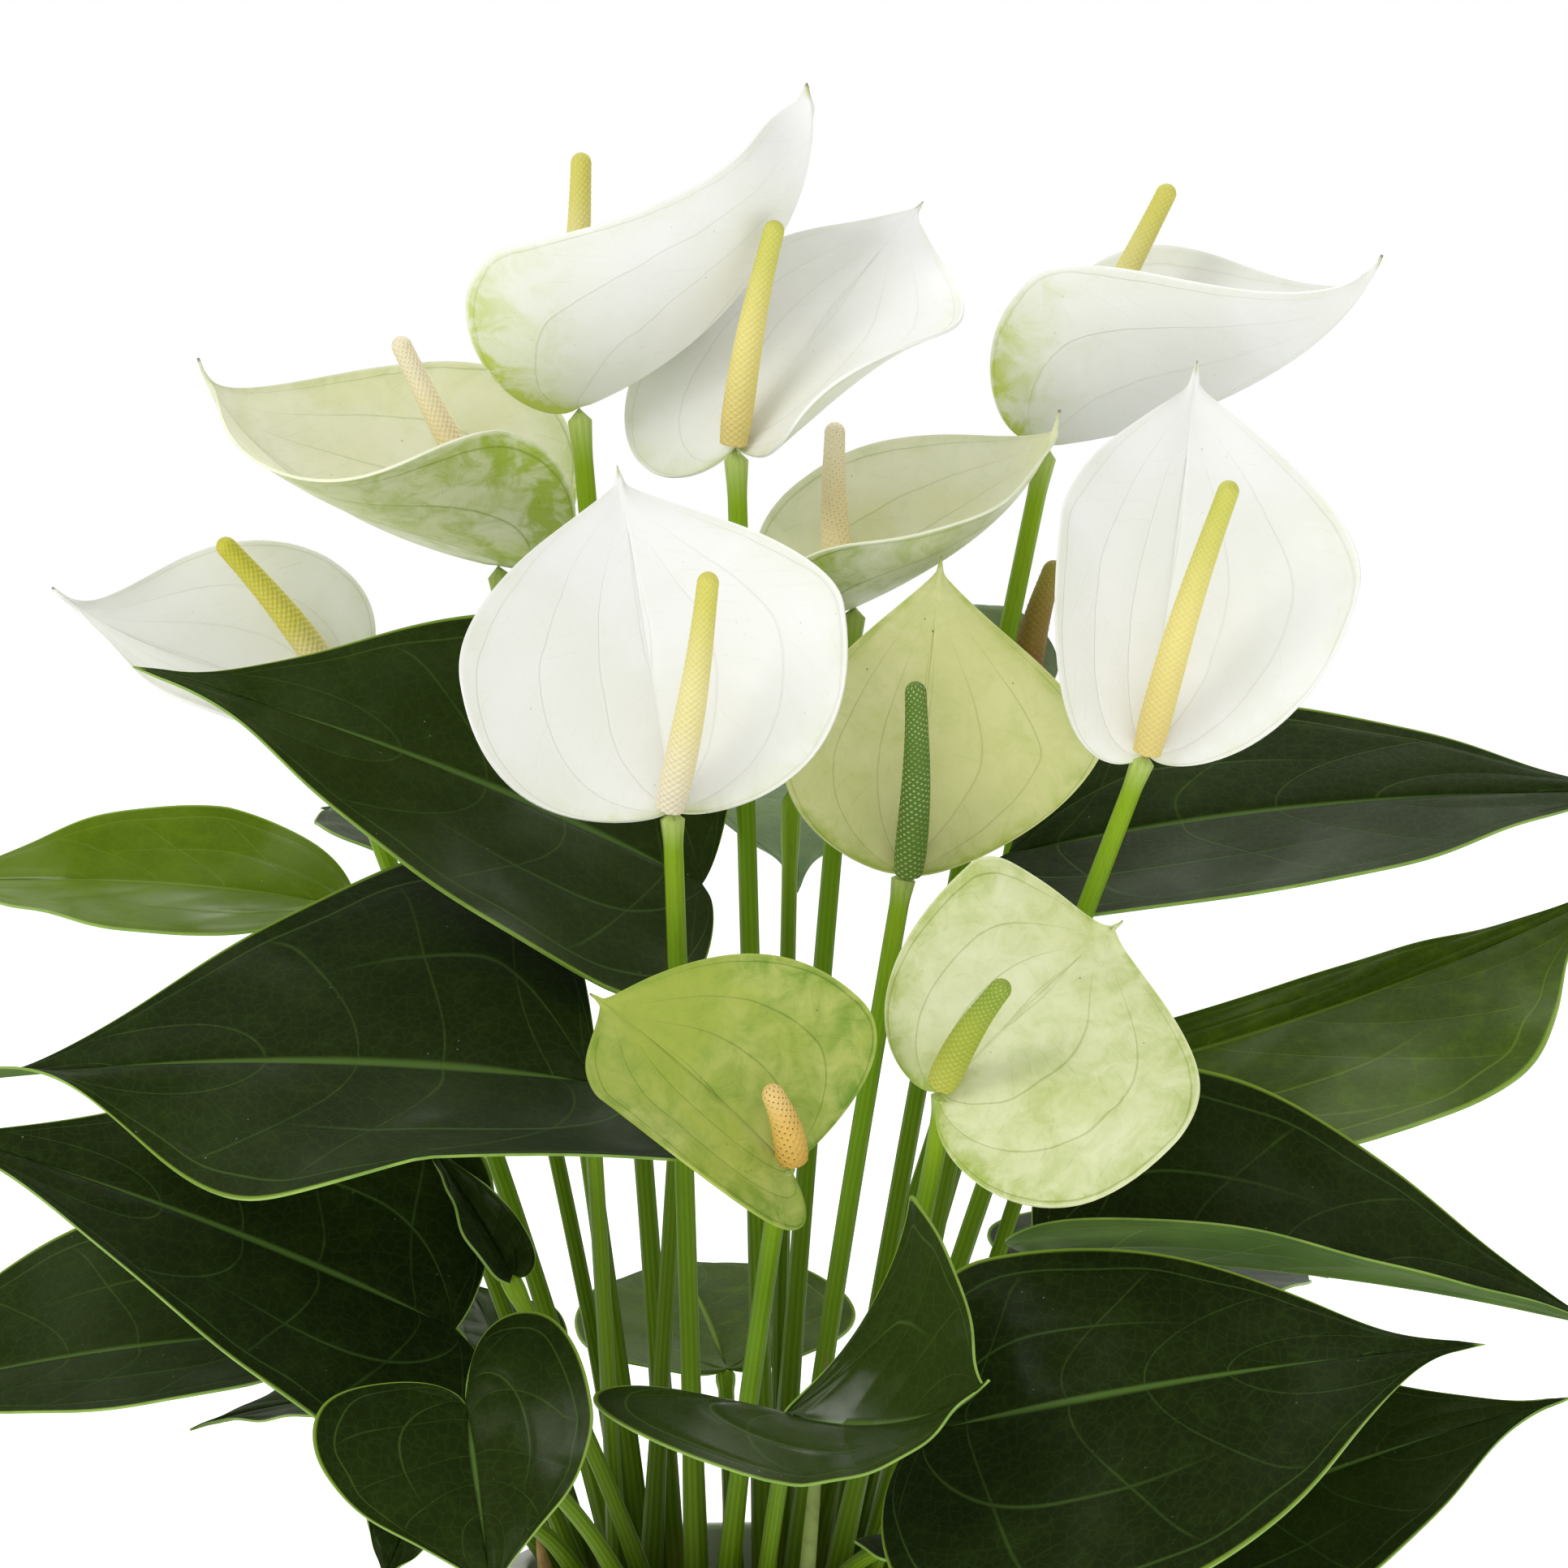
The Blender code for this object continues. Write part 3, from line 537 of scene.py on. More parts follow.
def smooth(value, low, high):
    share = np.clip((value - low) / (high - low), 0.0, 1.0)
    return share * share * (3 - 2 * share)


def by_side(value, side):
    """A blade's value for each half, from one number or a left and right pair."""
    left, right = value if isinstance(value, tuple) else (value, value)
    return np.where(side < 0, left, right)


def bezier(points, t):
    t = np.asarray(t)[..., None]
    a, b, c, d = [np.stack(np.broadcast_arrays(*point), -1) for point in points]
    return (1 - t) ** 3 * a + 3 * (1 - t) ** 2 * t * b + 3 * (1 - t) * t**2 * c + t**3 * d


def margin(u, half, lobe, widest, notch, shoulder, taper, cusp, hip):
    """Edge of a flat blade one unit long, from the sinus at its base to its tip."""
    back = (lobe + BULGE_OF_WIDEST * widest) / BULGE_OF_HANDLE
    zero = np.zeros_like(u)
    hip_x = widest * 0.5 * (1 - hip) - back * 0.95 * hip
    lobe_curve = bezier(
        [(zero, zero), (-back, notch), (hip_x, half * (0.8 + 0.2 * hip)), (widest, half)],
        np.clip(u / WIDEST_SHARE, 0, 1),
    )
    side_curve = bezier(
        [
            (widest, half),
            (widest + shoulder * (1 - widest), half),
            (1 - cusp - taper, CUSP_HALF_WIDTH + 0.3 * taper * half),
            (1 - cusp, CUSP_HALF_WIDTH + zero),
        ],
        np.clip((u - WIDEST_SHARE) / (CUSP_SHARE - WIDEST_SHARE), 0, 1),
    )
    into_cusp = (u - CUSP_SHARE) / (1 - CUSP_SHARE)
    cusp_line = np.stack([1 - cusp + cusp * into_cusp, CUSP_HALF_WIDTH * (1 - into_cusp)], -1)
    edge = np.where((u <= WIDEST_SHARE)[..., None], lobe_curve, side_curve)
    return np.where((u > CUSP_SHARE)[..., None], cusp_line, edge)


def midrib(s, bend, flick):
    """Line of the midrib: how far along, how far up, its slope and its length for a unit chord."""
    grid = np.linspace(0, 1, MIDRIB_STEPS + 1)

    def angle(g):
        lift = np.clip((g - FLICK_FROM) / (1 - FLICK_FROM), 0, 1) ** 2
        return math.radians(bend) * (0.5 - g) + math.radians(flick) * lift

    middle = (grid[1:] + grid[:-1]) / 2
    x = np.concatenate([[0], np.cumsum(np.cos(angle(middle)) / MIDRIB_STEPS)])
    z = np.concatenate([[0], np.cumsum(np.sin(angle(middle)) / MIDRIB_STEPS)])
    chord = math.hypot(x[-1], z[-1])
    turn_back = math.atan2(z[-1], x[-1])
    along = (x * math.cos(turn_back) + z * math.sin(turn_back)) / chord
    up = (z * math.cos(turn_back) - x * math.sin(turn_back)) / chord
    inside = np.clip(s, 0, 1)
    behind = np.minimum(s, 0) / chord
    start = angle(0.0) - turn_back
    slope = angle(inside) - turn_back
    along_s = np.interp(inside, grid, along) + behind * np.cos(start)
    up_s = np.interp(inside, grid, up) + behind * np.sin(start)
    return along_s, up_s, slope, 1 / chord


def blade_frame(spec):
    """Directions of a blade: base to tip, its upper side, and its right half."""
    forward = unit(np.subtract(spec["tip"], spec["base"]))
    normal = unit(np.array(spec["face"], float) - np.dot(spec["face"], forward) * forward)
    return forward, normal, np.cross(forward, normal)


def blade_points(u, v, spec, kind):
    """Points on a blade's middle surface, for u from base to tip and v from left to right edge."""
    shape = {key: spec.get(key, value) for key, value in kind.items()}
    side = np.where(v < 0, -1.0, 1.0)
    across = np.abs(v)
    edge = margin(u, **{key: by_side(value, side) for key, value in shape.items()})
    s = (1 - across) * u**MIDRIB_CROWDING + across * edge[..., 0]
    along, up, slope, scale = midrib(s, spec.get("bend", DEFAULT_BEND), spec.get("flick", 0))
    width = across * edge[..., 1] * scale
    lobe = by_side(shape["lobe"], side)
    towards_tip = np.clip((s + lobe) / (1 + lobe), 0, 1)
    spec_fold, spec_curl = spec.get("fold", DEFAULT_FOLD), spec.get("curl", DEFAULT_CURL)
    fold = by_side(spec_fold, side)
    fold = np.radians(fold + (by_side(spec.get("fold_tip", spec_fold), side) - fold) * towards_tip)
    curl = by_side(spec_curl, side)
    curl = np.radians(curl + (by_side(spec.get("curl_tip", spec_curl), side) - curl) * towards_tip)
    turning = curl / (by_side(shape["half"], side) * scale) + 1e-6
    out = side * (np.sin(fold + turning * width) - np.sin(fold)) / turning
    lift = (np.cos(fold) - np.cos(fold + turning * width)) / turning

    base, tip = on_plant(spec["base"]), on_plant(spec["tip"])
    length = np.linalg.norm(tip - base)
    ripple = np.sin(2 * math.pi * (spec.get("wave_count", 2) * u + spec.get("wave_start", 0)))
    swell = np.sqrt(np.clip(np.sin(math.pi * u), 0, 1)) * across**2
    wave = by_side(spec.get("wave_side", 1), side) * spec.get("wave", 0) * MM
    lift = lift + wave / length * ripple * swell

    forward, normal, right = blade_frame(spec)
    along = along - lift * np.sin(slope)
    up = up + lift * np.cos(slope)
    return base + length * (along[..., None] * forward + up[..., None] * normal + out[..., None] * right)


def raise_blade(u, v, spec, kind, relief):
    """Blade points moved along the blade's own normal by a relief in metres."""
    ahead = blade_points(np.clip(u + RELIEF_STEP, 0, 1), v, spec, kind)
    behind = blade_points(np.clip(u - RELIEF_STEP, 0, 1), v, spec, kind)
    rightward = blade_points(u, np.clip(v + RELIEF_STEP, -1, 1), spec, kind)
    leftward = blade_points(u, np.clip(v - RELIEF_STEP, -1, 1), spec, kind)
    normal = np.cross(rightward - leftward, ahead - behind)
    size = np.linalg.norm(normal, axis=-1, keepdims=True)
    return blade_points(u, v, spec, kind) + normal / np.maximum(size, 1e-12) * relief[:, None]


def blade_sheet(cells, spec, kind, relief, start):
    """A blade's sheet, raised into its relief."""
    piece, u, flat = new_sheet(*cells)
    v = 1 - 2 * flat
    return shape_sheet(piece, raise_blade(u, v, spec, kind, relief(u, v, start)))


def thicken(piece, thickness, offset, under=0, rim=0):
    """Gives a sheet its thickness. under and rim say which materials its other faces take."""
    solidify = piece.modifiers.new("Thickness", "SOLIDIFY")
    solidify.thickness = thickness
    solidify.offset = offset
    solidify.material_offset = under
    solidify.material_offset_rim = rim
    select_only(piece)
    bpy.ops.object.modifier_apply(modifier="Thickness")


def vein_wander(u, v):
    return 0.020 * np.sin(6 * v + 2) + 0.028 * np.sin(11 * u + 1)


def leaf_relief(u, v, start):
    """Height of the quilting between the veins, the sunk midrib and the margin's gentle waves."""
    across = np.abs(v)
    vein = (u - VEIN_LEAN * across**1.6 + vein_wander(u, v)) / VEIN_SPACING
    quilt = np.abs(np.sin(math.pi * vein)) ** 0.7
    quilt *= smooth(across, 0.02, 0.22) * (1 - smooth(across, 0.78, 0.93)) * smooth(u, 0.03, 0.16)
    groove = np.exp(-((across / 0.035) ** 2)) * smooth(u, 0.01, 0.06) * (1 - smooth(u, 0.85, 1.0))
    basal = np.exp(-(((across - 0.46) / 0.03) ** 2)) * smooth(u, 0.01, 0.05) * (1 - smooth(u, 0.35, 0.6))
    collecting = np.exp(-(((across - 0.86) / 0.02) ** 2)) * smooth(u, 0.05, 0.2)
    ends = smooth(u, 0.0, 0.05) * (1 - smooth(u, 0.9, 1.0))
    waves = np.sin(2 * math.pi * (2.6 * u + start)) * 0.8 + np.sin(2 * math.pi * (5.3 * u - start)) * 0.35
    waves = waves * across**2.5 + 0.5 * np.sin(2 * math.pi * (1.4 * u + 0.7 * v + start)) * across
    return (quilt * 0.30 - groove * 0.55 - basal * 0.3 - collecting * 0.15 + waves * 0.9) * ends * MM


def leaf_lines(finish):
    """Lines of a leaf's veins and its margin, each from 0 to 1, from the blade's own map."""
    u, flat = finish.along()
    v = 1 - flat * 2
    across = abs(v)
    shift = u - (across**1.6) * VEIN_LEAN + (v * 6 + 2).sine() * 0.020 + (u * 11 + 1).sine() * 0.028
    off_vein = (shift / VEIN_SPACING).off_line()
    lateral = off_vein.fall(0.0, 0.024) * across.fall(0.75, 0.90) * u.rise(0.02, 0.08)
    off_small = ((shift * 2.6 + across * 1.7) / VEIN_SPACING).off_line()
    small = off_small.fall(0.0, 0.06) * across.fall(0.8, 0.95)
    basal = abs(across - 0.46).fall(0.0, 0.014) * u.fall(0.35, 0.6)
    wobble = (u * 46).sine() * 0.010
    collecting = abs(across - 0.86 + wobble).fall(0.0, 0.012) * u.fall(0.9, 0.97)
    rib = across.fall(0.004, 0.030) * u.fall(0.96, 1.0)
    return u, across, rib, lateral, small, basal.greater(collecting)


GREEN_GLEAM = (0.80, 1.0, 0.30, 1.0)


def leaf_face(name, dark, mid, vein_colour, margin_and_highlight_colour):
    """Waxy upper side of a leaf."""
    leaf = Finish(name, Coat_Roughness=0.22, Specular_IOR_Level=0.10, Specular_Tint=GREEN_GLEAM)
    u, across, rib, lateral, small, arcs = leaf_lines(leaf)
    tone = leaf.add("ShaderNodeAttribute", {"attribute_name": "tone"}, {}, "Fac")
    gloss = leaf.add("ShaderNodeAttribute", {"attribute_name": "gloss"}, {}, "Fac")
    drift = leaf.cloud(24, 3, 0.5, 0.4)
    mottle = leaf.cloud(120, 4, 0.6)
    skin = leaf.cloud(520, 3, 0.6, 0.8)
    wrinkle = leaf.cells(310, "DISTANCE_TO_EDGE", 0.9)
    body = leaf.mix((tone * 0.7 + drift * 0.75 - 0.25).rise(0.0, 1.0), dark, mid)
    body = leaf.mix(mottle.rise(0.45, 0.75) * 0.20, body, [c * 1.5 for c in mid])
    body = leaf.mix(wrinkle.fall(0.0, 0.10) * 0.07, body, vein_colour)
    lines = (rib * 0.85).greater(lateral * (mottle * 0.5)).greater(arcs * 0.42).greater(small * 0.05)
    body = leaf.mix(lines, body, vein_colour)
    # The bright band at the margin is partly the leaf's own pale yellow-green edge and partly a painted
    # highlight along the edge.
    edge = across.rise(0.972, 0.992).greater(u.rise(0.975, 0.995))
    body = leaf.mix(edge * 0.9, body, margin_and_highlight_colour)
    specks = leaf.cells(230).fall(0.03, 0.07) * leaf.cloud(35).rise(0.5, 0.62)
    body = leaf.mix(specks * 0.5, body, (0.32, 0.36, 0.30))
    leaf.bump(skin * 0.35 + wrinkle * 0.35 - rib * 0.8 - lateral * 0.4 - arcs * 0.6, 0.0004, 0.5)
    glossy = drift.rise(0.42, 0.68) * gloss
    rough = 0.42 + skin * 0.16 + mottle * 0.10 + edge * 0.2 - glossy * 0.10
    return leaf.wear(body, rough, glossy)


def leaf_back(name, pale, deep, vein_colour):
    """Dull underside of a leaf, with its veins standing proud."""
    leaf = Finish(name, Specular_IOR_Level=0.25, Specular_Tint=GREEN_GLEAM)
    u, across, rib, lateral, small, arcs = leaf_lines(leaf)
    drift = leaf.cloud(30, 4, 0.55)
    skin = leaf.cloud(430, 3, 0.6)
    body = leaf.mix(drift.rise(0.3, 0.7), deep, pale)
    lines = rib.greater(lateral * 0.7).greater(arcs * 0.7).greater(small * 0.3)
    body = leaf.mix(lines * 0.6, body, vein_colour)
    leaf.bump(skin * 0.3 + rib + lateral * 0.8 + arcs * 0.8 + small * 0.4, 0.0006, 0.6)
    return leaf.wear(body, 0.46 + skin * 0.18)


def leaf_edge(name, light, deep):
    """Margin of a leaf: its own pale yellow-green edge, made brighter still as a painted highlight along
    the edge.
    """
    rim = Finish(name, Specular_IOR_Level=0.4)
    drift = rim.cloud(60, 4, 0.6)
    scars = rim.cells(75).fall(0.05, 0.12) * rim.cloud(40).rise(0.52, 0.60)
    body = rim.mix(scars * 0.7, rim.mix(drift.rise(0.35, 0.65), deep, light), (0.16, 0.06, 0.02))
    rim.bump(rim.cloud(600, 2), 0.0002, 0.4)
    return rim.wear(body, 0.36 + drift * 0.15)


def stem_finish(name, deep, mid, light, foot_tone, collar):
    """Skin of a stalk: fine long ribs, greener low down and brighter towards its head."""
    stem = Finish(name, Coat_Roughness=0.3, Specular_IOR_Level=0.22, Specular_Tint=GREEN_GLEAM)
    turn_share, length_share = stem.along()
    drift = stem.cloud(26, 3, 0.5)
    fibre = stem.cloud(1.0, 4, 0.6, 0.0, (900, 900, 28))
    stripe = ((turn_share * 11 + drift * 0.8).off_line() * 2).rise(0.2, 0.9)
    height = length_share + (drift - 0.5) * 0.25
    body = stem.mix(height.rise(0.0, 0.75), deep, mid)
    body = stem.mix(height.rise(0.70, 1.0), body, light)
    body = stem.mix(height.fall(0.0, 0.10) * 0.8, body, foot_tone)
    body = stem.mix(length_share.rise(0.94, 1.0) * collar, body, (0.55, 0.64, 0.24))
    body = stem.mix(stripe * 0.22, body, light)
    body = stem.mix(fibre.rise(0.5, 0.75) * 0.25, body, deep)
    specks = stem.cells(260).fall(0.03, 0.08) * stem.cloud(70).rise(0.55, 0.65)
    body = stem.mix(specks * 0.6, body, (0.32, 0.26, 0.12))
    stem.bump(stripe * 0.5 + fibre * 0.5, 0.0004, 0.6)
    return stem.wear(body, 0.38 + fibre * 0.18, drift * 0.08)


def stalk_path(foot, top, rise, points, arrive=None):
    """A stalk that leaves the soil nearly upright and leans towards its top."""
    start = foot + np.array([0.0, 0.0, UPRIGHT_RUN])
    reach = np.linalg.norm(top - start)
    lean = LEAN_AT_FOOT * (top - start) * np.array([1, 1, 0])
    leave = start + np.array([0.0, 0.0, rise * reach]) + lean
    towards = unit(arrive) if arrive is not None else unit(top - leave)
    near_top = top - towards * reach * REACH_AT_TOP
    t = np.linspace(0, 1, points - 1)[:, None]
    arc = (1 - t) ** 3 * start + 3 * (1 - t) ** 2 * t * leave
    arc = arc + 3 * (1 - t) * t**2 * near_top + t**3 * top
    return np.vstack([foot - np.array([0.0, 0.0, FOOT_SINKS]), arc])


def carry_frames(path):
    """Two directions across a path at each point, carried along it without twisting."""
    tangent = np.gradient(path, axis=0)
    tangent /= np.linalg.norm(tangent, axis=1, keepdims=True)
    side = np.zeros_like(path)
    side[0] = unit(np.cross(tangent[0], [0.0, 1.0, 0.02]))
    for i in range(1, len(path)):
        carried = side[i - 1] - np.dot(side[i - 1], tangent[i]) * tangent[i]
        side[i] = carried / np.linalg.norm(carried)
    return side, np.cross(tangent, side)


def make_stem(path, radii, sides=24, ribs=0, depth=0.0, turn_offset=0.0):
    """A closed tube along a path, with soft ribs along it."""
    piece, around_share, along_share = new_sheet(sides, len(path) - 1)
    index = np.rint(along_share * (len(path) - 1)).astype(int)
    side, up = carry_frames(path)
    turn_angle = 2 * math.pi * around_share
    swell = 1 + depth * np.cos(ribs * turn_angle + turn_offset)
    swell = swell + depth * 0.6 * np.cos(2 * turn_angle + turn_offset)
    reach = (radii[index] * swell)[:, None]
    spoke = np.cos(turn_angle)[:, None] * side[index] + np.sin(turn_angle)[:, None] * up[index]
    return shape_sheet(piece, path[index] + reach * spoke, closed=True)


def closed_radii(radii):
    """The same radii with both ends drawn in to a point."""
    closed = np.array(radii, float)
    closed[0] = 0.0
    closed[-1] = 0.0
    return closed


leaf_finishes = {
    False: leaf_face(
        "leaf_dark", (0.0070, 0.0140, 0.0025), (0.0220, 0.0400, 0.0040), (0.080, 0.150, 0.028),
        (0.220, 0.340, 0.040),
    ),
    True: leaf_face(
        "leaf_pale", (0.036, 0.066, 0.005), (0.115, 0.190, 0.003), (0.190, 0.300, 0.030),
        (0.250, 0.390, 0.050),
    ),
}
leaf_backs = {
    False: leaf_back("leaf_underside", (0.090, 0.165, 0.030), (0.050, 0.100, 0.022), (0.18, 0.27, 0.06)),
    True: leaf_back("pale_underside", (0.150, 0.250, 0.035), (0.090, 0.170, 0.025), (0.22, 0.33, 0.07)),
}
# The margin material's bright greens are partly the edge's own colour and partly a painted highlight along
# the edge.
leaf_rim = leaf_edge("leaf_margin", (0.25, 0.39, 0.060), (0.15, 0.28, 0.030))
petiole_skin = stem_finish(
    "petiole_skin", (0.062, 0.112, 0.004), (0.100, 0.185, 0.005), (0.190, 0.320, 0.014),
    (0.16, 0.17, 0.03), 0.0,
)


def make_leaf(name, spec, number):
    piece = blade_sheet(BLADE_CELLS, spec, LEAF_SHAPE, leaf_relief, (number * 0.381) % 1.0)
    pale = spec.get("pale", False)
    for finish in (leaf_finishes[pale], leaf_backs[pale], leaf_rim, petiole_skin):
        piece.data.materials.append(finish)
    thicken(piece, LEAF_THICKNESS, -0.2, 1, 2)

    forward, normal, _ = blade_frame(spec)
    foot = on_soil(spec["foot"])
    joint = on_plant(spec["base"]) + forward * 0.002 - normal * 0.0009
    path = stalk_path(foot, joint, spec.get("rise", DEFAULT_RISE), PETIOLE_POINTS)
    share = np.linspace(0, 1, PETIOLE_POINTS)
    girth = 1 + 0.42 * (1 - smooth(share, 0.0, 0.35)) + 0.25 * smooth(share, 0.88, 0.94)
    girth *= 1 - 0.35 * smooth(share, 0.965, 1.0)
    petiole = make_stem(path, closed_radii(PETIOLE_RADIUS * girth), 24, 3, 0.05, number * 1.7)
    for _ in range(3):
        petiole.data.materials.append(leaf_rim)
    petiole.data.materials.append(petiole_skin)
    petiole.data.polygons.foreach_set("material_index", [3] * len(petiole.data.polygons))
    piece.select_set(True)
    bpy.context.view_layer.objects.active = piece
    bpy.ops.object.join()
    for kind, usual in (("tone", 0.3), ("gloss", 0.17)):
        shares = piece.data.attributes.new(kind, "FLOAT", "POINT")
        shares.data.foreach_set("value", [spec.get(kind, usual)] * len(piece.data.vertices))
    bpy.ops.object.shade_smooth_by_angle(angle=math.radians(55))
    root_piece(piece, name + "_leaf", "leaf_pale" if pale else "leaf_dark", "leaf_" + name)


for leaf_number, (leaf_name, leaf_spec) in enumerate(LEAVES.items()):
    make_leaf(leaf_name, leaf_spec, leaf_number)


# ---- Flower stalks ----
# Slim solid stalks, faintly ribbed, that widen a little where they carry the spathe and where
# they leave the crown. The table holds each whole flower: face is the way its spathe looks and
# spadix is the free end of its spadix.

STALK_RADIUS = 0.0026
STALK_POINTS = 84

FLOWERS = {
    "high_left": dict(
        base=(-46, 31, 326), tip=(16, 6, 412), face=(-0.81, 0.25, 0.59), spadix=(-45, 33, 395),
        foot=(-0.40, 0.42), half=(0.45, 0.48), fold=(25, 20), curl=(65, 50), bend=-60, flick=25,
        lobe=0.12, widest=0.14, shoulder=(0.60, 0.85), taper=(0.08, 0.04), cusp=0.04, wave=8,
        wave_side=(0, 1), wave_count=1.55, wave_start=-0.12, skin="white", lobes=0.9, bloom="creamy",
    ),
    "high_centre": dict(
        base=(-3, 19, 315), tip=(48, 42, 382), face=(-0.08, -0.85, 0.52), spadix=(8, -4, 375),
        foot=(0.10, 0.10), half=(0.48, 0.62), fold=(-14, 26), curl=(0, 88), lobe=(0.20, -0.02),
        widest=(0.12, 0.38), hip=1.0, curl_tip=(0, 8), shoulder=(0.60, 0.52), taper=(0.08, 0.06),
        cusp=0.04, fold_tip=0, skin="white", lobes=0.35,
    ),
    "high_right": dict(
        base=(82, 48, 316), tip=(172, 28, 367), face=(-0.49, 0.05, 0.87), spadix=(116, 48, 387),
        foot=(0.48, 0.34), half=(0.55, 0.52), fold=(30, 35), curl=(50, 45), bend=-42, flick=20,
        lobe=0.10, widest=(0.30, 0.14), shoulder=(0.55, 0.50), taper=(0.08, 0.05), cusp=0.05,
        skin="white", lobes=0.9, bloom="creamy",
    ),
    "right": dict(
        base=(105, -30, 235), tip=(120, 0, 338), face=(0.1, -0.9, 0.3), spadix=(125, -60, 306),
        foot=(0.60, -0.20), half=(0.31, 0.46), fold=5, curl=25, lobe=0.02, widest=(0.50, 0.45),
        hip=(1.0, 0.6), shoulder=0.4, taper=0.05, cusp=0.06, skin="white", lobes=0.12,
    ),
    "centre": dict(
        base=(-19, -50, 221), tip=(-34, -20, 310), face=(0.05, -0.9, 0.35), spadix=(-9, -80, 283),
        foot=(-0.26, -0.56), half=(0.55, 0.56), fold=5, curl=25, lobe=0.0, widest=(0.38, 0.45),
        shoulder=(0.45, 0.35), taper=0.05, cusp=0.05, skin="white", lobes=0.45, bloom="creamy",
    ),
    "left": dict(
        base=(-68, 40, 283), tip=(-148, 20, 339), face=(0.4, -0.5, 0.75), spadix=(-95, 30, 345),
        foot=(-0.56, 0.34), half=(0.60, 0.55), fold=(45, 15), fold_tip=10, curl=(75, 50),
        curl_tip=(20, 40), bend=-50, flick=20, lobe=(0.20, 0.16), widest=0.15, taper=0.08, skin="cream",
        lobes=1.0, bloom="peach",
    ),
    "far_left": dict(
        base=(-117, 50, 248), tip=(-189, 30, 277), face=(0.25, -0.5, 0.9), spadix=(-144, 35, 290),
        foot=(-0.66, 0.18), half=(0.36, 0.50), fold=(0, 20), curl=(10, 55), bend=-25, flick=15,
        lobe=0.16, widest=0.2, skin="white", lobes=0.4, bloom="golden",
    ),
    "behind_centre": dict(
        base=(29, 34, 272), tip=(84, 12, 325), face=(-0.5, -0.45, 0.7), spadix=(24, 40, 322),
        foot=(0.16, 0.44), half=0.54, fold=(10, 25), fold_tip=10, curl=(50, 75), curl_tip=40, bend=-40,
        flick=20, lobe=0.28, widest=0.15, taper=0.08, skin="cream", lobes=0.8, bloom="peach",
    ),
    "green_centre": dict(
        base=(42, -20, 203), tip=(52, 0, 286), face=(0.1, -0.9, 0.3), spadix=(44, -50, 254),
        foot=(0.24, -0.24), half=(0.46, 0.56), fold=(5, 0), curl=(20, 5), lobe=0.0, widest=(0.35, 0.45),
        hip=(0.6, 0.2), shoulder=0.2, taper=0.05, cusp=0.05, skin="greening", bloom="green",
    ),
    "green_right": dict(
        base=(51, -70, 150), tip=(98, -48, 192), face=(0.0, -0.75, 0.6), spadix=(66, -95, 180),
        foot=(0.44, -0.56), arrive=(0.1, -0.3, 1), half=(0.56, 0.95), fold=5, curl=20,
        lobe=(0.02, 0.20), widest=(0.70, 0.35), shoulder=(0.75, 0.60), taper=0.05, cusp=0.06,
        skin="mottled", bloom="lime",
    ),
    "green_front": dict(
        base=(10, -92, 134), tip=(-39, -94, 177), face=(0.2, -0.75, 0.6), spadix=(6, -105, 155),
        foot=(-0.12, -0.68), half=(0.40, 0.68), fold=(0, 10), curl=20, lobe=(0.20, 0.05),
        widest=(0.70, 0.20), shoulder=(0.60, 0.70), taper=0.05, cusp=0.05, skin="green", bloom="orange",
    ),
    "spent": dict(
        base=(78, 52, 250), tip=(58, 66, 274), face=(0.2, -0.9, 0.4), spadix=(85, 50, 284),
        foot=(0.34, 0.58), arrive=(0, -0.1, 1), half=0.35, fold=0, curl=20, lobe=0.08, skin="faded",
        bloom="brown",
    ),
}

stalk_skin = stem_finish(
    "stalk_skin", (0.080, 0.145, 0.004), (0.115, 0.235, 0.005), (0.250, 0.400, 0.015),
    (0.17, 0.18, 0.03), 0.75,
)


def make_stalk(name, spec, number):
    _, normal, _ = blade_frame(spec)
    top = on_plant(spec["base"]) - normal * 0.0004
    rise = spec.get("rise", DEFAULT_RISE)
    path = stalk_path(on_soil(spec["foot"]), top, rise, STALK_POINTS, spec.get("arrive"))
    share = np.linspace(0, 1, STALK_POINTS)
    girth = 1 + 0.35 * (1 - smooth(share, 0.0, 0.35)) + 0.30 * smooth(share, 0.95, 1.0)
    piece = make_stem(path, closed_radii(STALK_RADIUS * girth), 28, 5, 0.022, number * 0.9)
    piece.data.materials.append(stalk_skin)
    select_only(piece)
    bpy.ops.object.shade_smooth_by_angle(angle=math.radians(60))
    root_piece(piece, name + "_stalk", "stalk_green", "stalk_" + name)


for flower_number, (flower_name, flower) in enumerate(FLOWERS.items()):
    make_stalk(flower_name, flower, flower_number)


# ---- Spathes ----
# The flower's one coloured leaf, a thick satin sheet that opens white, then greens from its lobes
# inwards as it ages. Its veins rise from the stalk and arch beside the margin to a drawn-out cusp.

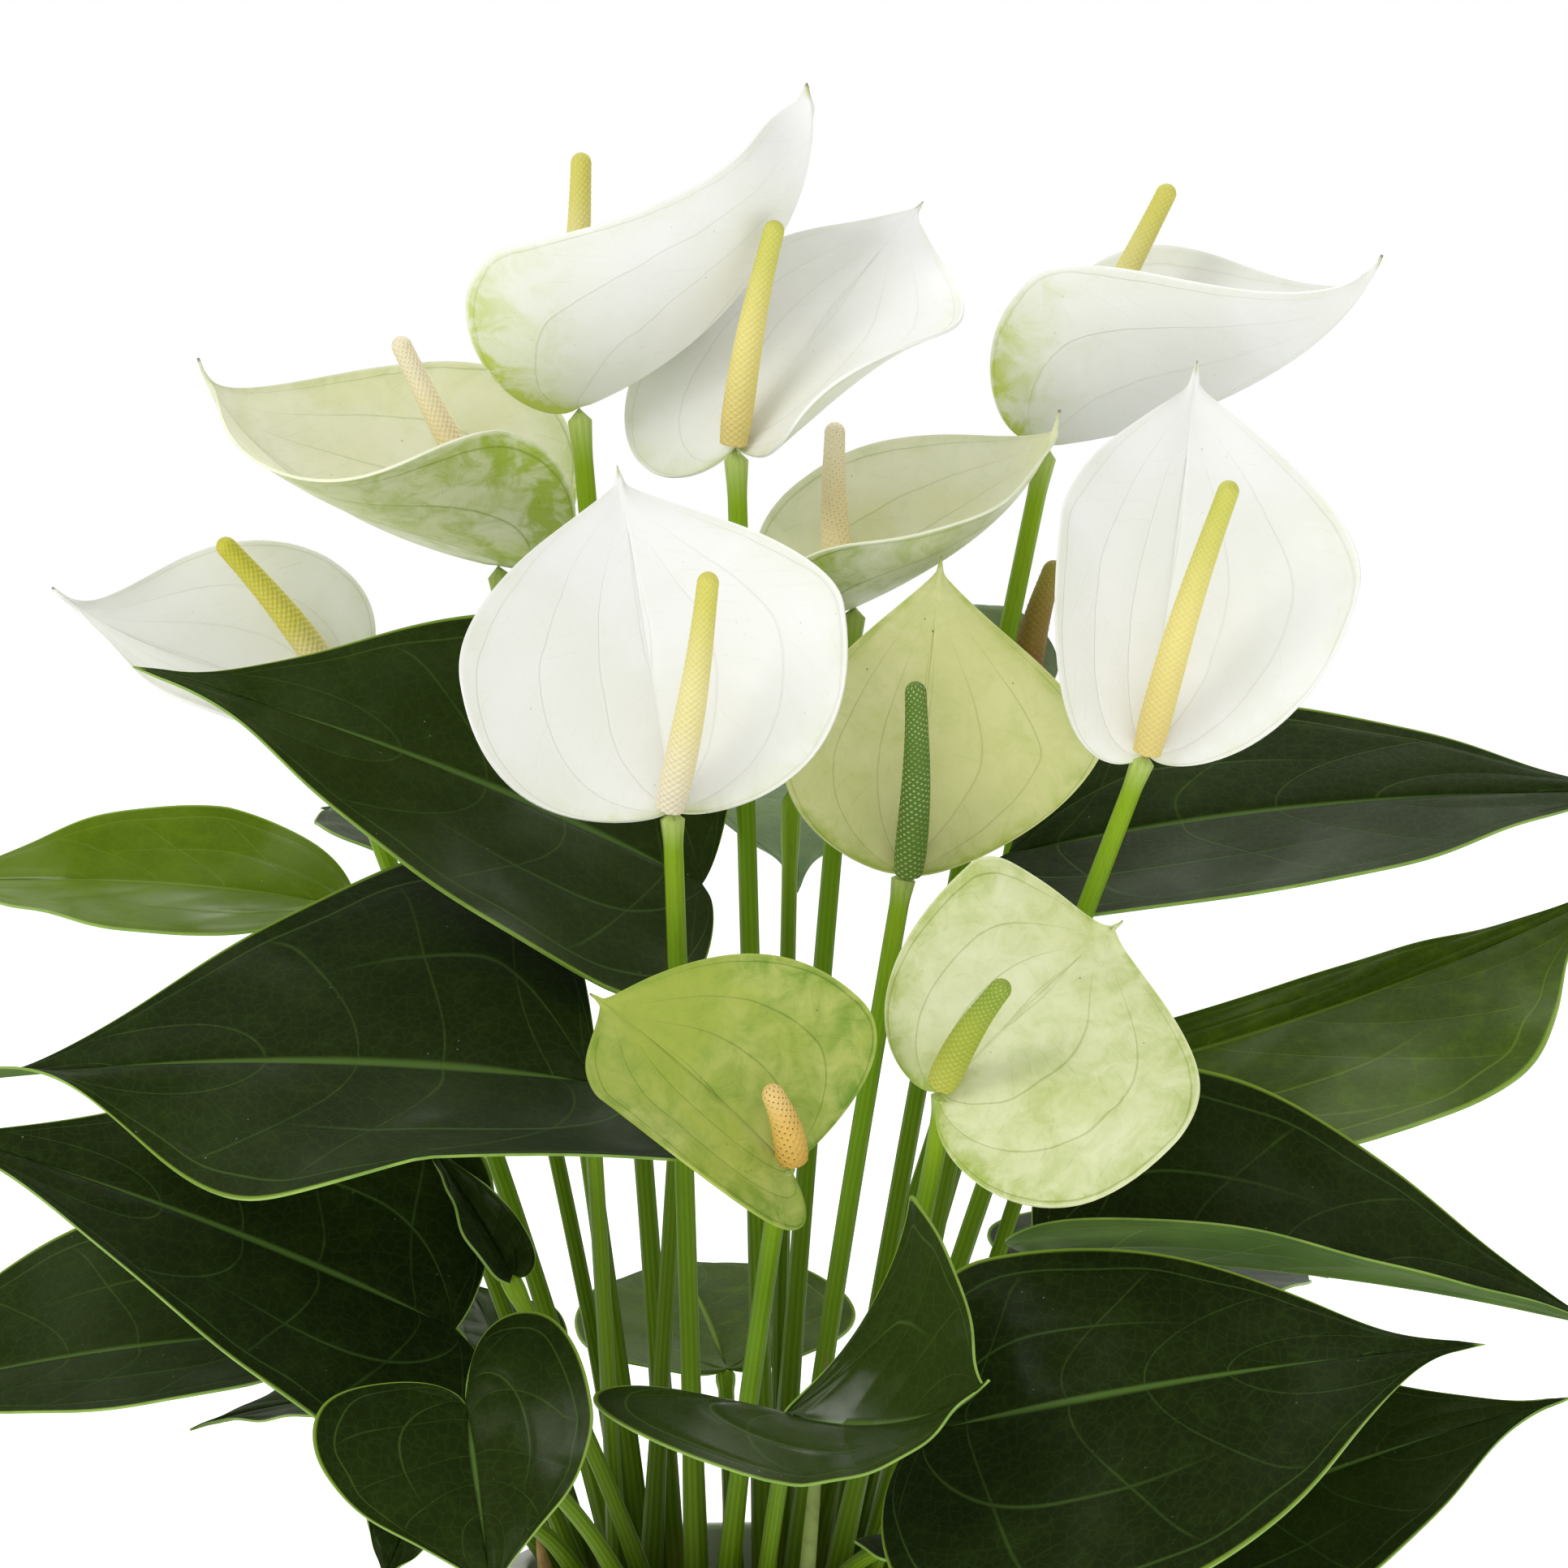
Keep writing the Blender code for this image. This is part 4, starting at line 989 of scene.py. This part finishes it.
SPATHE_CELLS = (96, 72)
SPATHE_THICKNESS = 0.0008
ARCHES = 3.2
SPATHE_SHAPE = dict(
    half=0.50, lobe=0.12, widest=0.30, notch=0.05, shoulder=0.55, taper=0.16, cusp=0.07, hip=1.0
)
SPATHE_SKINS = {
    "white": dict(
        face=(0.86, 0.865, 0.835), cloudy=(0.81, 0.82, 0.755), tint=(0.47, 0.56, 0.055), all_over=0.0,
        below=0.0, edges=0.16, veins=0.14, specks=0.25, soft=0.0, grain=95,
    ),
    "cream": dict(
        face=(0.83, 0.84, 0.66), cloudy=(0.78, 0.79, 0.50), tint=(0.32, 0.44, 0.018), all_over=0.10,
        below=0.80, edges=0.30, veins=0.45, specks=0.4, soft=0.04, grain=110,
    ),
    "greening": dict(
        face=(0.65, 0.66, 0.28), cloudy=(0.73, 0.73, 0.38), tint=(0.36, 0.46, 0.05), all_over=0.38,
        below=0.6, edges=0.7, veins=0.55, specks=0.9, soft=0.05, grain=95, lobes=0.7,
    ),
    "mottled": dict(
        face=(0.76, 0.79, 0.50), cloudy=(0.65, 0.69, 0.34), tint=(0.33, 0.44, 0.05), all_over=0.46,
        below=0.7, edges=0.55, veins=0.7, specks=0.6, soft=0.09, grain=130, lobes=0.8,
    ),
    "green": dict(
        face=(0.36, 0.43, 0.06), cloudy=(0.47, 0.51, 0.14), tint=(0.14, 0.27, 0.008), all_over=0.75,
        below=0.8, edges=0.5, veins=0.75, specks=0.6, soft=0.10, grain=120, lobes=0.5,
    ),
    "faded": dict(
        face=(0.23, 0.30, 0.17), cloudy=(0.36, 0.41, 0.26), tint=(0.12, 0.20, 0.08), all_over=0.6,
        below=0.6, edges=0.5, veins=0.5, specks=0.8, soft=0.0, grain=95, lobes=0.4,
    ),
}


def spathe_finish(name, skin, lobes, under):
    """Satin skin of a spathe, seen from above or from under."""
    deeper = 1.4 if under else 1.0
    sheet = Finish(name, Coat_Roughness=0.35, Specular_IOR_Level=0.25)
    u, flat = sheet.along()
    v = 1 - flat * 2
    across = abs(v)
    drift = sheet.cloud(26, 3, 0.5, 0.5)
    blotch = sheet.cloud(skin["grain"], 5, 0.62, 0.6)
    fine = sheet.cloud(420, 3, 0.6)
    arch = across * ARCHES + (u * 7 + v * 2.3).sine() * 0.12 + (drift - 0.5) * 0.35
    main_vein = arch.off_line().fall(0.0, 0.028) * u.fall(0.45, 0.92) * u.rise(0.0, 0.03)
    ladder = (u * 19 + across * 6 + drift * 2.0).off_line().fall(0.0, 0.05) * blotch.rise(0.45, 0.6)
    rib = across.fall(0.0, 0.018) * u.fall(0.85, 1.0)
    net = sheet.cells(150, "DISTANCE_TO_EDGE").fall(0.0, 0.05)

    lobe_mask = u.fall(0.04, 0.46 if under else 0.32) * across.rise(0.15 if under else 0.30, 1.0)
    hub_mask = u.fall(0.0, 0.12)
    edge_mask = across.rise(0.80, 1.0)
    patch = blotch.rise(0.40 - skin["soft"], 0.64 + skin["soft"])
    green = lobe_mask * (lobes * deeper) * (patch * 0.6 + 0.4)
    green = green + edge_mask * skin["edges"] * (patch * 0.5 + 0.3)
    spread = patch * 0.50 + 0.36 if under else patch
    green = green + spread * skin["below" if under else "all_over"] * (drift.rise(0.25, 0.65) * 0.8 + 0.2)
    green = green + hub_mask * (0.40 * deeper)
    green = green.lesser(0.92)

    body = sheet.mix(drift.rise(0.35, 0.7), skin["face"], skin["cloudy"])
    body = sheet.mix(green, body, skin["tint"])
    veins = main_vein.greater(rib * 0.7).greater(ladder * 0.3).greater(net * 0.10)
    vein_colour = [c * 0.72 for c in skin["tint"]]
    body = sheet.mix(veins * (skin["veins"] * deeper) * (green * 0.9 + 0.45).lesser(1.0), body, vein_colour)
    rim_light = across.rise(0.975, 0.998) * 0.5
    body = sheet.mix(rim_light, body, [min(1.0, c * 1.05 + 0.03) for c in skin["face"]])
    dots = sheet.cells(190).fall(0.035, 0.075) * sheet.cloud(48).rise(0.50, 0.60) * skin["specks"]
    body = sheet.mix(dots, body, (0.10, 0.12, 0.03))
    cusp = u.rise(0.955, 0.985) * across.fall(0.2, 1.2)
    body = sheet.mix(cusp * 0.8, body, (0.38, 0.43, 0.08))
    body = sheet.mix(u.rise(0.985, 0.998) * 0.8, body, (0.16, 0.08, 0.03))
    groove = 0.7 if under else -0.7
    sheet.bump(fine * 0.25 + blotch * 0.4 + veins * groove, 0.0005, 0.45)
    return sheet.wear(body, 0.40 + fine * 0.14, 0.12 + drift * 0.08)


def spathe_relief(u, v, start):
    """Soft puckers between the arching veins, and the sheet's own slow waves."""
    across = np.abs(v)
    arch = across * ARCHES + 0.12 * np.sin(7 * u + 2.3 * v)
    pucker = np.abs(np.sin(math.pi * arch)) ** 0.8 * smooth(u, 0.02, 0.12) * (1 - smooth(u, 0.35, 0.85))
    pucker *= 1 - smooth(across, 0.9, 1.0)
    rib = np.exp(-((across / 0.03) ** 2)) * smooth(u, 0.0, 0.08) * (1 - smooth(u, 0.7, 1.0))
    ends = smooth(u, 0.0, 0.06) * (1 - smooth(u, 0.9, 1.0))
    waves = np.sin(2 * math.pi * (1.9 * u + start)) * across**2
    waves += 0.5 * np.sin(2 * math.pi * (4.1 * u - start)) * across**3
    waves += 0.5 * np.sin(2 * math.pi * (0.9 * u + 0.8 * v + start)) * across
    return (pucker * 0.22 - rib * 0.35 + waves * 0.75) * ends * MM


def make_spathe(name, spec, number):
    piece = blade_sheet(SPATHE_CELLS, spec, SPATHE_SHAPE, spathe_relief, (number * 0.277) % 1.0)
    skin = SPATHE_SKINS[spec["skin"]]
    lobes = spec.get("lobes", skin.get("lobes", 0.5))
    piece.data.materials.append(spathe_finish("spathe_upper_" + name, skin, lobes, False))
    piece.data.materials.append(spathe_finish("spathe_under_" + name, skin, lobes, True))
    thicken(piece, SPATHE_THICKNESS, 0.0, 1)
    bpy.ops.object.shade_smooth_by_angle(angle=math.radians(55))
    slots = {"white": "spathe_white", "green": "spathe_green", "faded": "spathe_green"}
    root_piece(piece, name + "_spathe", slots.get(spec["skin"], "spathe_cream_green"), "spathe_" + name)


for flower_number, (flower_name, flower) in enumerate(FLOWERS.items()):
    make_spathe(flower_name, flower, flower_number)


# ---- Spadices ----
# The fleshy spike of tiny flowers, packed in two sets of spirals. It ripens from its base, so the
# base is cream or peach while the tip is still yellow-green.

SPADIX_RADIUS = 0.0042
SPADIX_AROUND = 88
FLORET = 0.00135
SPADIX_STAND = 0.001
SPADIX_FORWARD = 0.002
RING_SPACING = 0.00030
SPIRALS = (8, 13)
BLOOMS = {
    "yellow": ((0.72, 0.58, 0.20), (0.80, 0.70, 0.24), (0.58, 0.58, 0.11), 0.0, 0.0),
    "creamy": ((0.84, 0.76, 0.56), (0.82, 0.74, 0.34), (0.64, 0.60, 0.12), 0.0, 0.0),
    "golden": ((0.83, 0.70, 0.46), (0.66, 0.60, 0.10), (0.55, 0.52, 0.05), 0.0, 0.0),
    "peach": ((0.80, 0.64, 0.33), (0.83, 0.70, 0.40), (0.86, 0.78, 0.55), 0.45, 0.0),
    "green": ((0.12, 0.22, 0.02), (0.09, 0.18, 0.02), (0.10, 0.19, 0.02), 0.0, 0.75),
    "lime": ((0.50, 0.52, 0.07), (0.36, 0.42, 0.04), (0.24, 0.34, 0.03), 0.0, 0.6),
    "orange": ((0.58, 0.36, 0.06), (0.70, 0.45, 0.10), (0.78, 0.56, 0.20), 0.95, 0.0),
    "brown": ((0.20, 0.10, 0.02), (0.28, 0.19, 0.03), (0.36, 0.30, 0.05), 0.6, 0.0),
}


def spiral_rates(length):
    """How fast each set of spirals climbs, so that the florets are as far apart both ways."""
    circumference = 2 * math.pi * SPADIX_RADIUS
    rates = [length * math.sqrt(FLORET**-2 - (arms / circumference) ** 2) for arms in SPIRALS]
    return rates


def spadix_finish(name, bloom, rates):
    foot_colour, middle_colour, tip_colour, dots, pimples = bloom
    spike = Finish(name, Specular_IOR_Level=0.3)
    around_share, along_share = spike.along()
    drift = spike.cloud(90, 3, 0.5)
    fine = spike.cloud(1500, 2, 0.5)
    first = (around_share * SPIRALS[0] + along_share * rates[0]).off_line()
    second = (around_share * SPIRALS[1] - along_share * rates[1]).off_line()
    centre = (first * first + second * second) ** 0.5
    height = along_share + (drift - 0.5) * 0.22
    body = spike.mix(height.rise(0.0, 0.45), foot_colour, middle_colour)
    body = spike.mix(height.rise(0.45, 0.95), body, tip_colour)
    # Painted shade darkens the grooves between the florets, and a painted highlight lightens the middle of
    # each floret.
    body = spike.mix(centre.rise(0.30, 0.62) * 0.16, body, [c * 0.45 for c in middle_colour])
    body = spike.mix(centre.fall(0.10, 0.30) * 0.14, body, [min(1.0, c * 1.25) for c in tip_colour])
    picked = drift.rise(0.42, 0.56)
    body = spike.mix(centre.fall(0.12, 0.24) * picked * dots, body, (0.20, 0.075, 0.02))
    body = spike.mix(centre.fall(0.14, 0.28) * (picked * 0.5 + 0.5) * pimples, body, (0.50, 0.56, 0.24))
    spike.bump(centre.fall(0.0, 0.6) * 0.6 + fine * 0.2, 0.0003, 0.6)
    return spike.wear(body, 0.50 + fine * 0.2)


def make_spadix(name, spec, number):
    forward, normal, _ = blade_frame(spec)
    base = on_plant(spec["base"])
    steepest = math.radians(max(max(np.atleast_1d(spec["fold"])), 0))
    stand = (SPADIX_RADIUS + SPADIX_STAND) / math.cos(steepest) + SPADIX_STAND
    start = base + normal * stand + forward * SPADIX_FORWARD
    end = on_plant(spec["spadix"])
    length = np.linalg.norm(end - start)
    root = start - unit(end - start) * 0.004
    rings = int(length / RING_SPACING)
    share = np.linspace(0, 1, rings + 1)
    path = root + (end - root) * share[:, None]
    bow = unit(np.cross(end - start, [0.3, 1.0, 0.2])) * (0.0012 if number % 2 else -0.0012)
    path = path + bow * np.sin(math.pi * share)[:, None]
    girth = 0.90 + 0.10 * smooth(share, 0.0, 0.12) - 0.33 * smooth(share, 0.15, 1.0)
    left = (1 - share) * length / (SPADIX_RADIUS * 0.68)
    girth *= np.sqrt(np.clip(1 - (1 - np.clip(left, 0, 1)) ** 2, 0, 1))
    girth[0] = 0.0
    piece, around_share, along_share = new_sheet(SPADIX_AROUND, rings)
    index = np.rint(along_share * rings).astype(int)
    side, up = carry_frames(path)
    rates = spiral_rates(length)
    first = np.cos(math.pi * (around_share * SPIRALS[0] + along_share * rates[0]))
    second = np.cos(math.pi * (around_share * SPIRALS[1] - along_share * rates[1]))
    floret = np.sqrt(np.abs(first * second)) * np.clip(girth[index] * 1.6 - 0.3, 0, 1)
    reach = (SPADIX_RADIUS * girth[index] + (floret - 0.6) * 0.00022 * (girth[index] > 0))[:, None]
    turn_angle = 2 * math.pi * around_share
    spoke = np.cos(turn_angle)[:, None] * side[index] + np.sin(turn_angle)[:, None] * up[index]
    shape_sheet(piece, path[index] + reach * spoke, closed=True)
    bloom = spec.get("bloom", "yellow")
    piece.data.materials.append(spadix_finish("spadix_" + name, BLOOMS[bloom], rates))
    select_only(piece)
    bpy.ops.object.shade_smooth()
    slots = {"green": "spadix_green", "lime": "spadix_green", "brown": "spadix_brown"}
    root_piece(piece, name + "_spadix", slots.get(bloom, "spadix_yellow"), "spadix_" + name)


for flower_number, (flower_name, flower) in enumerate(FLOWERS.items()):
    make_spadix(flower_name, flower, flower_number)


# ---- Sheaths ----
# The papery scales that wrapped each new leaf and flower. They stay on the crown as dried tan and
# dark red tongues round the stems, and a fresh one is pale green.

SHEATH_CELLS = (28, 10)
SHEATH_THICKNESS = 0.0004
SHEATH_WRAP = 1.15
SHEATHS = {
    "tan_left": dict(foot=(-50, -14), height=26, lean=(-5, -4), width=4.2, face=(-0.4, -1.0), dry=1.0),
    "red_front": dict(foot=(-6, -44), height=19, lean=(3, -5), width=3.6, face=(0.1, -1.0), dry=0.0),
    "tan_right": dict(foot=(34, -36), height=23, lean=(6, -4), width=3.8, face=(0.5, -1.0), dry=0.9),
    "fresh_right": dict(foot=(14, -47), height=80, lean=(7, -8), width=2.6, face=(0.0, -1.0), dry=0.45),
    "red_back": dict(foot=(10, 46), height=21, lean=(3, 5), width=4.0, face=(0.1, 1.0), dry=0.1),
    "tan_back": dict(foot=(-30, 40), height=24, lean=(-5, 4), width=4.2, face=(-0.4, 1.0), dry=0.8),
    "tan_side": dict(foot=(45, 12), height=22, lean=(5, 2), width=4.0, face=(1.0, 0.1), dry=1.0),
}


def sheath_finish(name, dry):
    scale = Finish(name, Specular_IOR_Level=0.3)
    u, flat = scale.along()
    fibre = (flat * 17 + scale.cloud(160) * 1.4).off_line().fall(0.0, 0.30)
    drift = scale.cloud(120, 4, 0.6)
    shades = ((0.050, 0.012, 0.008), (0.30, 0.42, 0.10), (0.46, 0.30, 0.075))
    low, high = (shades[0], shades[1]) if dry < 0.5 else (shades[1], shades[2])
    body = scale.mix(min(1.0, (dry % 0.5) * 2 if dry < 1.0 else 1.0), low, high)
    body = scale.mix(drift.rise(0.45, 0.70) * 0.45, body, (0.085, 0.035, 0.015))
    body = scale.mix(fibre * 0.35, body, (0.55, 0.45, 0.20))
    body = scale.mix(u.rise(0.70, 1.0) * 0.6, body, (0.16, 0.07, 0.02))
    scale.bump(fibre * 0.6 + drift * 0.4, 0.0004, 0.7)
    return scale.wear(body, 0.50 + drift * 0.25)


def make_sheath(name, foot, height, lean, width, face, dry):
    """A narrow scale curled round its stem, drawn to a point and bent out a little at the top."""
    piece, u, flat = new_sheet(*SHEATH_CELLS)
    flat = 2 * flat - 1
    outward = unit([*face, 0.0])
    sideways = np.array([outward[1], -outward[0], 0.0])
    half = width * (1 - u) ** 0.55 * (0.85 + 0.5 * u * (1 - u)) + 0.05
    curl = SHEATH_WRAP * flat
    across = half * np.sin(curl) / np.sin(SHEATH_WRAP)
    depth = half * (np.cos(curl) - np.cos(SHEATH_WRAP)) + 1.5 * u**3
    wrinkle = 0.22 * np.sin(19 * u + 5 * flat) * (1 - u)
    spine = np.array([*foot, -2.0]) + np.outer(u, [*lean, height + 2.0])
    places = spine + np.outer(across, sideways) + np.outer(depth + wrinkle, outward)
    shape_sheet(piece, places * MM + np.array([0.0, 0.0, SOIL_TOP]))
    piece.data.materials.append(sheath_finish("sheath_" + name, dry))
    thicken(piece, SHEATH_THICKNESS, -1.0)
    bpy.ops.object.shade_smooth_by_angle(angle=math.radians(50))
    root_piece(piece, name + "_sheath", "stalk_green")


for sheath_name, sheath in SHEATHS.items():
    make_sheath(sheath_name, **sheath)


# ---- Floor, light and camera ----
# A plain white floor under soft light from large panels, and a long lens at table height.

bpy.ops.object.select_all(action="DESELECT")
bpy.ops.mesh.primitive_circle_add(vertices=96, radius=7.0, fill_type="NGON")
floor = bpy.context.active_object
floor.name = "floor"
paper = Finish("floor_paper", Roughness=0.9, Emission_Strength=0.60)
paper.shader.inputs["Emission Color"].default_value = (1.0, 1.0, 1.0, 1.0)
floor.data.materials.append(
    paper.wear(paper.mix(paper.cloud(3), (0.87, 0.87, 0.87), (0.89, 0.89, 0.89)))
)


class Studio(Finish):
    """The plain white room, which lights the plant less than it shows behind it."""

    def __init__(self, name, shown, given):
        room = bpy.data.worlds.new(name)
        room.use_nodes = True
        self.tree = room.node_tree
        white = (1.0, 1.0, 1.0, 1.0)
        behind = self.add("ShaderNodeBackground", {}, {"Color": white, "Strength": shown})
        around = self.add("ShaderNodeBackground", {}, {"Color": white, "Strength": given})
        looked_at = self.add("ShaderNodeLightPath", {}, {}, "Is Camera Ray")
        both = self.add("ShaderNodeMixShader", {}, {0: looked_at, 1: around, 2: behind})
        self.join(both, self.tree.nodes["World Output"].inputs["Surface"])
        bpy.context.scene.world = room


Studio("studio", 1.0, 0.66)


def panel(name, place, target, size, power, tint=(1.0, 1.0, 1.0)):
    bpy.ops.object.light_add(type="AREA", location=place)
    light = bpy.context.active_object
    light.name = name
    light.data.shape = "SQUARE"
    light.data.size = size
    light.data.energy = power
    light.data.color = tint
    light.rotation_euler = (Vector(target) - Vector(place)).to_track_quat("-Z", "Y").to_euler()


panel("key_panel", (-1.3, -1.5, 1.7), (0, 0, 0.3), 1.0, 17)
panel("top_panel", (0.3, 0.9, 1.9), (0, 0, 0.3), 1.2, 13)

TARGET = (0.010, 0.0, 0.330)
DISTANCE = 1.6
ELEVATION = math.radians(3)
SENSOR_WIDTH = 36.0
HALF_VIEW = 0.131
bpy.ops.object.camera_add()
camera = bpy.context.active_object
camera.location = Vector(TARGET) + Vector((0, -math.cos(ELEVATION), math.sin(ELEVATION))) * DISTANCE
camera.rotation_euler = (Vector(TARGET) - camera.location).to_track_quat("-Z", "Y").to_euler()
camera.data.sensor_width = SENSOR_WIDTH
camera.data.lens = SENSOR_WIDTH / 2 / HALF_VIEW
bpy.context.scene.camera = camera
bpy.context.scene.view_settings.view_transform = "Standard"
